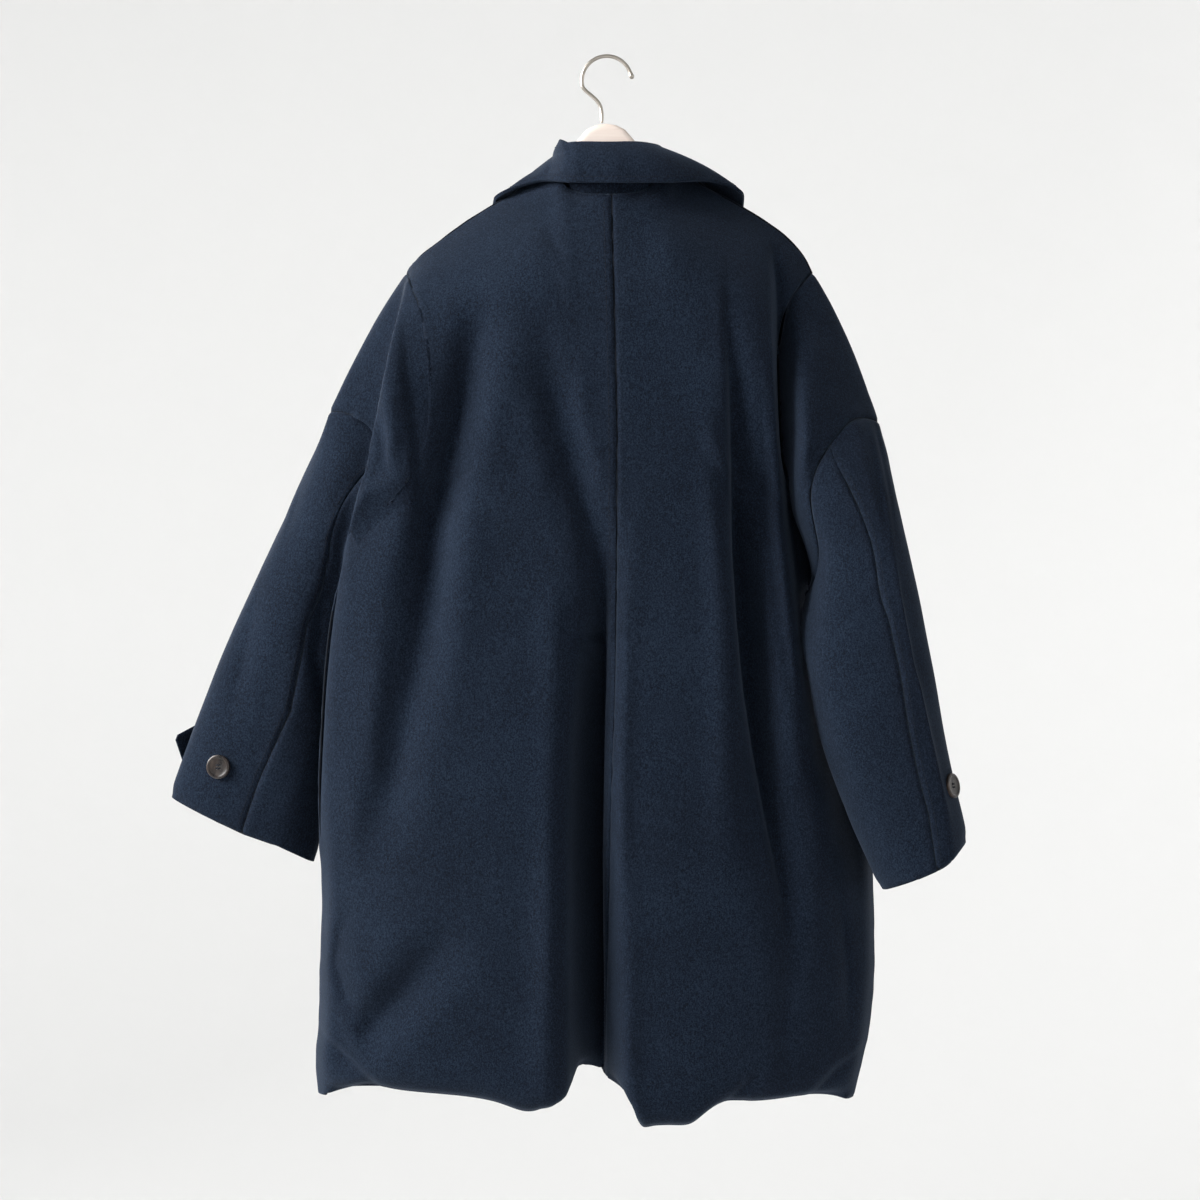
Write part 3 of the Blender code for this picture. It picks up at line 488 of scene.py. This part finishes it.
def unsewn(piece):
    """Marks a piece that shows no seam line: it lies far from every seam, so its colour gets no painted seam
    shade.
    """
    mark = piece.data.attributes.new("from_seam", "FLOAT", "POINT")
    mark.data.foreach_set("value", np.full(len(piece.data.vertices), 20.0))


def lay_flat(piece, flat, share, rests_on, *sewn_on):
    width, length = flat
    area = share * width * length


def meets(piece, node):
    seams = seams_of(piece)
    return lambda k: abs(seams[k] - cloth_nodes.index(node) - 1) < 0.01


# Back and sleeve caps: two panels of the same cloth joined at the centre seam, which hang in long
# soft folds, and a deep cap sewn into each dropped armhole. On the left the back and the cap fold
# over the sleeve as one surface. The padding makes the hem a thick rounded edge.
BACK_CREASES = {
    "beside_seam": Crease(
        (
            (-1, -508, 0), (-3, -563, 9), (-6, -613, 28), (-9, -673, 44), (-11, -754, 52),
            (-12, -834, 54), (-11, -914, 50), (-10, -974, 44), (-9, -1040, 32),
        ), 25, 10, 0.22,
    ),
    "beside_bulge": Crease(
        (
            (-24, -580, 0), (-32, -640, -7), (-37, -720, -13), (-39, -820, -17), (-39, -940, -17),
            (-38, -1060, -14),
        ), 34, 14,
    ),
    "across_left": Crease(
        ((-66, -317, 0), (-54, -362, 4), (-40, -413, 6), (-24, -463, 6), (-4, -523, 3)), 40, 36
    ),
    "right_trough": Crease(
        (
            (121, -222, 0), (124, -282, 5), (127, -332, 9), (130, -392, 15), (133, -453, 24), (135, -513, 30),
            (139, -583, 30), (145, -653, 27), (154, -714, 23), (164, -774, 18), (175, -834, 11),
            (186, -914, 0),
        ), 11, 40, -0.2,
    ),
    "right_ridge": Crease(
        (
            (153, -292, 0), (157, -362, 4), (160, -422, 8), (163, -483, 11), (171, -553, 11), (181, -623, 8),
            (193, -704, 0),
        ), 22, 16,
    ),
    "right_armhole": Crease(
        (
            (171, -193, 0), (175, -238, 14), (176, -289, 24), (178, -350, 28), (181, -401, 30),
            (185, -451, 28), (191, -502, 24), (197, -553, 18), (203, -614, 12), (212, -685, 6),
            (222, -756, 0),
        ), 9, 20,
    ),
    "left_trough": Crease(
        (
            (-117, -262, 0), (-133, -307, 7), (-149, -372, 10), (-164, -443, 12), (-177, -493, 12),
            (-183, -553, 10), (-195, -643, 8), (-215, -754, 3), (-227, -814, 0),
        ), 38, 42,
    ),
    "left_edge_over": Crease(
        (
            (-203, -240, -6), (-209, -290, -18), (-216, -341, -24), (-228, -391, -20), (-239, -432, -15),
            (-254, -472, -9), (-265, -513, -4), (-273, -563, 0),
        ), 5, 42, 0.35,
    ),
    "left_edge_under": Crease(
        (
            (-207, -238, 4), (-215, -289, 12), (-223, -340, 18), (-234, -391, 22), (-245, -431, 22),
            (-259, -472, 20), (-270, -512, 18), (-277, -563, 16), (-283, -604, 16), (-288, -664, 14),
            (-291, -725, 12), (-295, -806, 8),
        ), 45, 4,
    ),
    "thin_left": Crease(
        ((-201, -262, 0), (-197, -332, 3), (-193, -392, 4), (-189, -453, 4), (-185, -523, 0)), 8, 18
    ),
    "low_left": Crease(
        ((-152, -889, 0), (-182, -929, 6), (-212, -964, 9), (-235, -994, 6), (-257, -1015, 0)), 46, 40
    ),
    "left_corner": Crease(((-299, -1002, 3), (-269, -1027, 5), (-235, -1055, 4)), 30, 8),
    "right_corner": Crease(((265, -1023, 3), (235, -1041, 5), (208, -1069, 4)), 8, 30),
    "hem_small": Crease(((159, -1033, 0), (142, -1051, 4), (114, -1075, 5)), 8, 16),
    "pucker_left": Crease(((-46, -604, 0), (-26, -600, 6), (-4, -599, 7)), 5, 9),
    "pucker_right": Crease(((8, -599, 6), (28, -600, 5), (52, -605, 0)), 5, 9),
    "side_left": Crease(
        ((-255, -869, 0), (-271, -899, 4), (-277, -934, 6), (-265, -969, 5), (-251, -994, 0)), 12, 26
    ),
    "right_low": Crease(((194, -869, 0), (186, -924, 5), (180, -984, 5), (184, -1045, 3)), 24, 34),
    "right_side": Crease(((233, -844, 0), (241, -894, 4), (247, -954, 4), (245, -1004, 0)), 16, 12),
}
HEM_ROLL, NECK_RISE, EDGE_OVER, CENTRE_STITCH_INSET = 7.0, 9, 6, 8.5
HEM_WAVES = (
    (-66, 0), (-40, -8), (-33, -4), (-28, 6), (-21, 0), (-6, -8), (4, -6), (16, -9), (27, -10), (31, -14),
    (38, -14), (48, -12), (87, -8), (120, -3), (140, 0),
)


def left_armhole(x, y, z):
    """The back of the left armhole seam, which the cloth hides below the shoulder."""
    return float(x < -150 and y < (-15 if z > -440 else 25)) * min(max((-262 - z) / 40, 0), 1)


def blend(pieces, hidden, reach):
    """Evens the depth of several skins together beside a hidden seam, so that it lies in one surface. Below
    the arm the first skin alone sets the depth, and the second follows it as far as the folded edge."""
    where = [points_of(piece) for piece in pieces]
    every = np.concatenate(where)
    facing = np.concatenate([normals_of(piece)[:, 1] for piece in pieces])
    first = np.arange(len(every)) < len(where[0])
    share = np.array([hidden(*p) for p in every / MM]) * np.clip((every[:, 2] / MM + 560) / 20, 0, 1)
    sewn = np.concatenate([seams_of(piece) for piece in pieces]) > 0.5
    away = distance_to(every, every[sewn & (share > 0.02)])
    x, y, z = every.T / MM
    edge = np.interp(z, *np.array([place[1::-1] for place in BACK_CREASES["left_edge_over"].line[::-1]]).T)
    low = np.clip((-400 - z) / 40, 0, 1) * ~first
    beside = np.exp(-((away / 28) ** 2)) * (1 - low) + np.clip((x - edge + 4) / 10, 0, 1) * low
    weight = share * np.clip((10 - y) / 20, 0, 1) * beside
    near = every[(facing < -0.1) & (every[:, 2] < -0.2) & (first | (every[:, 2] > -0.43))]
    cell = 3 * MM
    low = near[:, [0, 2]].min(axis=0) - 20 * cell
    size = np.ceil((near[:, [0, 2]].max(axis=0) + 20 * cell - low) / cell).astype(int)
    spot = ((near[:, [0, 2]] - low) / cell).astype(int)
    count, depth = np.zeros(size), np.zeros(size)
    np.add.at(count, tuple(spot.T), 1.0)
    np.add.at(depth, tuple(spot.T), near[:, 1])
    filled = count > 0
    depth[filled] /= count[filled]
    count = filled.astype(float)
    bell = np.exp(-((np.arange(-20, 21) * 3.0 / reach) ** 2))
    for axis in (0, 1):
        count = np.apply_along_axis(np.convolve, axis, count, bell, "same")
        depth = np.apply_along_axis(np.convolve, axis, depth, bell, "same")
    level = depth / np.maximum(count, 1e-6)
    spot = ((every[:, [0, 2]] - low) / cell - 0.5).clip(0, size - 2.001)
    (i, k), (u, v) = spot.astype(int).T, (spot % 1).T
    lower, upper = (level[i, row] * (1 - u) + level[i + 1, row] * u for row in (k, k + 1))
    every[:, 1] += weight * (lower * (1 - v) + upper * v - every[:, 1])
    start = 0
    for piece, old in zip(pieces, where):
        move(piece, every[start : start + len(old)])
        start += len(old)


ELBOW = {
    "left": (
        (-860, -392, 0, 8), (-799, -381, 3, 12), (-753, -372, 8, 16), (-678, -356, 20, 22),
        (-589, -331, 11, 30), (-516, -314, 18, 36), (-478, -303, 16, 22), (-449, -285, 13, 8),
        (-418, -268, 11, 0), (-370, -250, 0, 0),
    ),
    "right": (
        (-880, 333, 4, 0), (-826, 321, 13, 0), (-774, 309, 24, 0), (-654, 277, 31, 4), (-630, 270, 31, 6),
        (-557, 257, 29, 12), (-500, 255, 22, 4), (-447, 252, 18, 0), (-400, 240, 14, 0), (-350, 236, 0, 0),
    ),
}
HEAD = {"left": ((-250, -432), (42, 70), (13, -6)), "right": ((230, -449), (30, 55), (-24, 0))}


def settle(piece, side, armhole, give=45):
    """Moves the elbow seam and the head of a sleeve sideways, and its inner edge up to the body. The
    armhole stays. The rows of ELBOW are z, the seam's x, its move, and the move of the inner edge."""
    points = points_of(piece)
    at = points[:, [0, 2]] / MM
    rows = np.array(ELBOW[side], float)
    seam, along, wider = (np.interp(at[:, 1], rows[:, 0], rows[:, k]) for k in (1, 2, 3))
    inward = 1 if side == "left" else -1
    past = (at[:, 0] - seam) * inward
    middle, reach, shift = (np.array(row, float) for row in HEAD[side])
    moved = np.exp(-(((at - middle) / reach) ** 2).sum(axis=1))[:, None] * shift
    beside = along * np.exp(-((past / np.where(past > 0, 42, 27)) ** 2))
    moved[:, 0] += beside + inward * wider * np.clip((past - 5) / 28, 0, 1)
    points[:, [0, 2]] += moved * np.clip((distance_to(points, armhole) - 2) / give, 0, 1)[:, None] * MM
    move(piece, points)


armholes = {}
for side, seed in (("left", 1), ("right", 5)):
    back = outer_skin("back_" + side, 3)
    cap = outer_skin("sleeve_cap_" + side, 3)
    joined, points = meets(back, "sleeve_cap_" + side), points_of(back)
    armholes[side] = points[[k for k in range(len(points)) if joined(k)]]
    settle(cap, side, armholes[side])
    sew(back, seed, 1.4, roll=HEM_ROLL, quiet=left_armhole)
    sew(cap, seed + 16, 1.2, quiet=left_armhole)
    if side == "left":
        blend((back, cap), left_armhole, 16.0)
    press(back, BACK_CREASES, -1)
    press(cap, BACK_CREASES, -1)
    # The folded left edge laps over the top of the under piece of the sleeve.
    for piece in (back, cap):
        points = points_of(piece)
        x, y, z = points.T / MM
        underarm = np.exp(-(((z + 490) / 20) ** 2)) * np.clip((-236 - x) / 12, 0, 1)
        points[:, 0] -= EDGE_OVER * MM * underarm * np.clip((10 - y) / 20, 0, 1)
        move(piece, points)
    points = points_of(back)
    x, z = points[:, 0] / MM, points[:, 2] / MM
    neck = np.clip((x / 50) ** 2, 0, 1) * np.clip((95 - np.abs(x)) / 30, 0, 1) * np.clip((z + 165) / 25, 0, 1)
    wave = np.interp(x, *np.array(HEM_WAVES, float).T)
    points[:, 2] += (NECK_RISE * neck + wave * np.clip((-z - 1000) / 55, 0, 1)) * MM
    move(back, points)
    rows = []
    if side == "left":
        centre = run_along(back, meets(back, "back_right"))
        rows = [topstitch("centre_back_stitches", back, centre, CENTRE_STITCH_INSET)]
    thicken(back)
    thicken(cap)
    hand_over(back, wool, "navy_wool", "back_" + side)
    hand_over(cap, wool, "navy_wool", "sleeve_cap_" + side)
    lay_flat(back, (0.36, 1.02), 0.8, ["hanger_wood_piece"], *rows)
    lay_flat(cap, (0.55, 0.16), 0.66, ["back_" + side + "_cloth"])


# Fronts: two panels lapped right over left, with their fastening hidden under the lap. They hang
# from the same shoulders and fall in broad folds like those of the back.
FRONT_CREASES = {
    "left_chest": Crease(
        ((-150, -250, 0), (-158, -330, 6), (-170, -430, 10), (-182, -540, 8), (-190, -640, 0)), 26, 34
    ),
    "left_skirt": Crease(
        ((-96, -560, 0), (-104, -680, 9), (-112, -820, 15), (-118, -960, 15), (-120, -1075, 11)), 40, 26
    ),
    "left_lap": Crease(((-40, -330, 0), (-46, -420, 5), (-40, -520, 0)), 22, 18),
    "right_chest": Crease(
        ((140, -240, 0), (148, -340, 7), (152, -450, 11), (160, -560, 7), (172, -660, 0)), 34, 24
    ),
    "right_skirt": Crease(
        ((98, -520, 0), (106, -660, 10), (118, -820, 16), (126, -960, 14), (130, -1078, 10)), 24, 42
    ),
    "right_hem": Crease(((208, -760, 0), (214, -880, 7), (210, -1000, 9), (204, -1075, 6)), 26, 26),
    "left_hem": Crease(((-214, -800, 0), (-220, -900, 6), (-214, -1010, 8), (-208, -1072, 5)), 28, 22),
}
NOTCH_AT, NOTCH_REACH, NOTCH_RISE, EDGE_STITCH_INSET, LAP_STITCH_INSET = -8, 55, 27, 6.0, 45.0
for side, seed in (("left", 9), ("right", 13)):
    front = outer_skin("front_" + side, 3)
    sew(front, seed, 1.8, roll=5.0)
    press(front, FRONT_CREASES, 1)
    points = points_of(front)
    hem = np.clip((-points[:, 2] / MM - 960) / 110, 0, 1)
    points[:, 2] += NOTCH_RISE * MM * hem * np.exp(-(((points[:, 0] / MM - NOTCH_AT) / NOTCH_REACH) ** 2))
    move(front, points)
    rows = []
    if side == "right":
        seams, points = seams_of(front), points_of(front)
        edge = run_along(front, lambda k: seams[k] < 0.5 and points[k][0] < 0 and points[k][2] > -1.07)
        lap = [k for k in edge if points[k][2] < -0.235]
        rows = [
            topstitch("front_edge_stitches", front, edge, EDGE_STITCH_INSET),
            topstitch("front_lap_stitches", front, lap, LAP_STITCH_INSET),
        ]
    thicken(front)
    hand_over(front, wool, "navy_wool", "front_" + side)
    lay_flat(front, (0.36, 1.0), 0.8, ["hanger_wood_piece"], *rows)


# Sleeves: an upper and an under piece of the same cloth, joined at the elbow and sewn to the cap
# above. The upper piece is eased in, so it puffs a little there. The left one lies against the body.
SLEEVE_CREASES = {
    "left_inside": Crease(
        ((-282, -530, 0), (-293, -572, 5), (-301, -614, 6), (-293, -662, 5), (-286, -700, 0)), 14, 12
    ),
    "left_elbow": Crease(((-352, -520, 0), (-366, -580, 4), (-378, -640, 5), (-392, -700, 0)), 22, 26),
    "left_head": Crease(((-300, -388, 0), (-312, -420, 4), (-324, -470, 3), (-334, -510, 0)), 9, 12),
    "right_inside": Crease(
        ((196, -470, 0), (201, -503, 5), (207, -553, 7), (203, -603, 5), (198, -640, 0)), 14, 18
    ),
    "right_middle": Crease(((206, -650, 0), (216, -690, 6), (231, -730, 5), (243, -775, 0)), 14, 22),
    "right_head": Crease(((262, -372, 0), (268, -410, 3), (276, -460, 3), (282, -510, 0)), 8, 8),
    "right_tuck": Crease(((274, -378, 2), (279, -410, 4), (286, -460, 3), (291, -520, 0)), 5, 6),
}
ELBOW_STITCH_INSET = 6.5
for side, seed in (("left", 25), ("right", 29)):
    for part, cut in (("top", (0.26, 0.48)), ("under", (0.14, 0.45))):
        sleeve = outer_skin("sleeve_" + part + "_" + side, 3)
        settle(sleeve, side, armholes[side], 45 if part == "top" else 14)
        sew(sleeve, seed, 1.4, roll=3.0)
        press(sleeve, SLEEVE_CREASES, -1)
        press(sleeve, {name: BACK_CREASES[name] for name in ("left_edge_over", "left_edge_under")}, -1)
        rows = []
        if part == "top":
            joined, points = meets(sleeve, "sleeve_under_" + side), points_of(sleeve)
            behind = 0.0 if side == "left" else -0.05
            seam = run_along(sleeve, lambda k: joined(k) and points[k][1] < behind)
            rows = [topstitch("elbow_stitches_" + side, sleeve, seam, ELBOW_STITCH_INSET)]
        thicken(sleeve)
        hand_over(sleeve, wool, "navy_wool", "sleeve_" + part + "_" + side)
        lay_flat(sleeve, cut, 0.7, ["sleeve_cap_" + side + "_cloth"], *rows)


# Collar: a stand sewn into the neck and a wide fall that turns over it, its edge topstitched.
# Both are interlined, so they keep a firm roll. It sags and leans in a little on the left.
COLLAR_SAG, COLLAR_STITCH_INSET, FALL_THICK, FALL_UNEVEN = 6, 6.0, 3.2, 0.7
DRAWN_IN = ((-156, 0), (-146, 3), (-138, 14), (-122, 23), (-106, 25), (-90, 14), (-82, 16))


def slump(piece):
    """Lets the top of the collar sag to the right of its left corner, and draws its left side in."""
    points = points_of(piece)
    x, y, z = points.T / MM
    sag = np.clip((x + 54) / 12, 0, 1) * np.clip((z + 135) / 45, 0, 1) * np.clip((60 - y) / 60, 0, 1)
    drawn = np.interp(z, *np.array(DRAWN_IN, float).T)
    points[:, 0] += drawn * np.clip((-30 - x) / 50, 0, 1) * np.clip((90 - y) / 60, 0, 1) * MM
    points[:, 2] -= COLLAR_SAG * MM * sag
    move(piece, points)


stand = outer_skin("collar_stand", 2)
slump(stand)
unsewn(stand)
thicken(stand)
hand_over(stand, wool, "navy_wool", "collar_stand")
lay_flat(stand, (0.33, 0.045), 0.85, ["back_left_cloth"])

fall = outer_skin("collar_fall", 3)
slump(fall)
unsewn(fall)
seams, points = seams_of(fall), points_of(fall)
move(fall, points + normals_of(fall) * (FALL_UNEVEN * uneven(points, 45.0, 33) * MM)[:, None])
edge = run_along(fall, lambda k: seams[k] < 0.5)
rows = [topstitch("collar_stitches", fall, edge, COLLAR_STITCH_INSET)]
thicken(fall, FALL_THICK)
apply(fall, "BEVEL", width=1.1 * MM, segments=2, limit_method="ANGLE", angle_limit=radians(60))
hand_over(fall, wool, "navy_wool", "collar_fall")
lay_flat(fall, (0.62, 0.095), 0.85, ["collar_stand_cloth"], *rows)


# Cuff tabs: two layers of the same cloth sewn together and turned, with a pointed end, each held
# to its sleeve by a button.
TAB_STITCH_INSET, TAB_ROUND = 4.5, 1.0
for side in ("left", "right"):
    skin = outer_skin("cuff_tab_" + side, 1)
    rows = [topstitch("tab_stitches_" + side, skin, run_along(skin, lambda k: True), TAB_STITCH_INSET)]
    bpy.data.objects.remove(skin)
    tab = copy_of("cuff_tab_" + side, "cuff_tab_" + side + "_cloth")
    apply(tab, "BEVEL", width=TAB_ROUND * MM, segments=2, limit_method="ANGLE", angle_limit=radians(50))
    unsewn(tab)
    hand_over(tab, wool, "navy_wool", "cuff_tab_" + side)
    lay_flat(tab, (0.15, 0.042), 0.9, ["sleeve_top_" + side + "_cloth"], *rows)


# Buttons: dark horn-look resin turned with a raised rim and a dished middle, drilled with four
# holes and sewn on with dark thread.
BUTTON_RADIUS, BUTTON_THICK, HOLE_OUT, HOLE_RADIUS = 12.4, 3.6, 2.4, 1.05
horn, shader, place = new_look(
    "dark_horn_resin", Specular_IOR_Level=0.35, Coat_Weight=0.08, Coat_Roughness=0.1
)
swirl = speckle(place, 130.0, 4.0, (1.0, 1.0, 0.4))
horn_colour = tint(
    swirl, (0.38, (0.006, 0.005, 0.005)), (0.55, (0.018, 0.013, 0.011)), (0.72, (0.07, 0.05, 0.04))
)
horn_colour.into(shader, "Base Color")
(0.2 + swirl * 0.2).into(shader, "Roughness")

bpy.ops.object.select_all(action="DESELECT")
bpy.ops.mesh.primitive_cylinder_add(vertices=48, radius=BUTTON_RADIUS * MM, depth=BUTTON_THICK * MM)
button = bpy.context.object
bpy.ops.object.mode_set(mode="EDIT")
bpy.ops.mesh.select_all(action="DESELECT")
shape = bmesh.from_edit_mesh(button.data)
for face in shape.faces:
    face.select = face.normal.z > 0.9
bmesh.update_edit_mesh(button.data)
for inset, sink in ((1.0, 0.5), (1.3, 0.1), (0.9, -1.1), (4.0, -0.35)):
    bpy.ops.mesh.inset(thickness=inset * MM, depth=sink * MM)
bpy.ops.object.mode_set(mode="OBJECT")
for k in range(4):
    turn = pi / 4 + k * pi / 2
    bpy.ops.mesh.primitive_cylinder_add(
        vertices=16,
        radius=HOLE_RADIUS * MM,
        depth=20 * MM,
        location=(HOLE_OUT * cos(turn) * MM, HOLE_OUT * sin(turn) * MM, 0),
    )
    drill = bpy.context.object
    apply(button, "BOOLEAN", operation="DIFFERENCE", solver="EXACT", object=drill)
    bpy.data.objects.remove(drill)
apply(button, "BEVEL", width=0.3 * MM, segments=2, limit_method="ANGLE", angle_limit=radians(28))

bpy.ops.object.select_all(action="DESELECT")
bpy.ops.mesh.primitive_uv_sphere_add(segments=10, ring_count=6, radius=1.0)
strand = bpy.context.object
bpy.ops.object.mode_set(mode="EDIT")
bpy.ops.mesh.select_all(action="SELECT")
bpy.ops.transform.resize(value=(3.0 * MM, 0.75 * MM, 0.6 * MM), center_override=(0, 0, 0))
bpy.ops.transform.translate(value=(0, HOLE_OUT * 0.707 * MM, (BUTTON_THICK / 2 - 0.75) * MM))
bpy.ops.mesh.duplicate()
bpy.ops.transform.translate(value=(0, -HOLE_OUT * 1.414 * MM, 0))
bpy.ops.object.mode_set(mode="OBJECT")

for name, inside in (
    ("cuff_button_left", "sleeve_top_left"),
    ("cuff_button_right", "sleeve_top_right"),
    ("tab_button_left", "sleeve_top_left"),
    ("tab_button_right", "sleeve_top_right"),
):
    spots = points_of(nodes[name])
    middle = (spots.min(axis=0) + spots.max(axis=0)) / 2
    axis = Vector(np.linalg.eigh(np.cov((spots - middle).T))[1][:, 0])
    sleeve_points = points_of(nodes[inside])
    level = sleeve_points[np.abs(sleeve_points[:, 2] - middle[2]) < 0.06].mean(axis=0)
    if axis.dot(Vector(middle - level)) < 0:
        axis = -axis
    turn = axis.to_track_quat("Z", "Y").to_matrix().to_4x4()
    turn.translation = Vector(middle)
    for master, ending, look in ((button, "_horn", horn), (strand, "_thread", thread)):
        copy = bpy.data.objects.new(name + ending, master.data.copy())
        bpy.context.scene.collection.objects.link(copy)
        copy.data.transform(turn)
        hand_over(copy, look, "dark_button", *((name,) if master is button else ()))
        only(copy)
        bpy.ops.object.shade_smooth_by_angle(angle=radians(35))
bpy.data.objects.remove(button)
bpy.data.objects.remove(strand)


# Room: a pale seamless paper sweep all round, so that every side is seen against the same plain
# wall. It is a wide open drum whose floor curves up into its wall.
FLOOR, SWEEP_RADIUS, SWEEP_HEIGHT, SWEEP_CURVE = -2.3, 6.0, 6.4, 1.6
paper = new_look("pale_paper", Roughness=0.9, Base_Color=(0.772, 0.772, 0.768, 1.0))[0]
bpy.ops.object.select_all(action="DESELECT")
bpy.ops.mesh.primitive_cylinder_add(
    vertices=96, radius=SWEEP_RADIUS, depth=SWEEP_HEIGHT, location=(0, 0, FLOOR + SWEEP_HEIGHT / 2)
)
sweep = bpy.context.object
sweep.name = "pale_sweep"
bpy.ops.object.transform_apply(location=True)
shape = bmesh.new()
shape.from_mesh(sweep.data)
bmesh.ops.delete(shape, geom=[f for f in shape.faces if f.normal.z > 0.9], context="FACES")
rim = [e for e in shape.edges if all(v.co.z < FLOOR + 0.01 for v in e.verts)]
bmesh.ops.bevel(shape, geom=rim, offset=SWEEP_CURVE, segments=12, profile=0.5, affect="EDGES")
bmesh.ops.reverse_faces(shape, faces=shape.faces)
shape.to_mesh(sweep.data)
shape.free()
sweep.data.materials.append(paper)
only(sweep)
bpy.ops.object.shade_smooth()


# Light: a broad window to the upper left of the camera, a weak bounce from the right, a soft lamp on
# the far side for the front of the coat, and a pale room all round.
world = bpy.data.worlds.new("pale_room")
world.use_nodes = True
world.node_tree.nodes["Background"].inputs["Color"].default_value = (1.0, 1.0, 0.995, 1.0)
world.node_tree.nodes["Background"].inputs["Strength"].default_value = 0.44
bpy.context.scene.world = world
bpy.context.scene.view_settings.view_transform = "Standard"


def window(name, place, aim, size, power):
    lamp = bpy.data.lights.new(name, "AREA")
    lamp.shape = "RECTANGLE"
    lamp.size, lamp.size_y = size
    lamp.energy = power
    made = bpy.data.objects.new(name, lamp)
    made.location = place
    made.rotation_euler = (Vector(aim) - Vector(place)).to_track_quat("-Z", "Y").to_euler()
    bpy.context.scene.collection.objects.link(made)


window("window_left", (-3.1, -1.15, 0.9), (0, 0, -0.5), (2.2, 2.2), 390)
window("bounce_right", (3.2, -2.0, -0.4), (0, 0, -0.6), (2.0, 2.0), 8)
window("far_side", (-2.2, 3.2, 1.0), (0, 0, -0.5), (2.0, 2.0), 100)


# Camera: level with the middle of the coat, three metres behind it. The picture is as wide there as
# FRAME_WIDTH.
CAMERA = (-0.006, -3.0, -0.563)
FRAME_WIDTH = 1.242
eye = bpy.data.cameras.new("camera")
eye.sensor_width = 36.0
eye.lens = -eye.sensor_width * CAMERA[1] / FRAME_WIDTH
camera = bpy.data.objects.new("camera", eye)
camera.location = CAMERA
camera.rotation_euler = (pi / 2, 0, 0)
bpy.context.scene.collection.objects.link(camera)
bpy.context.scene.camera = camera
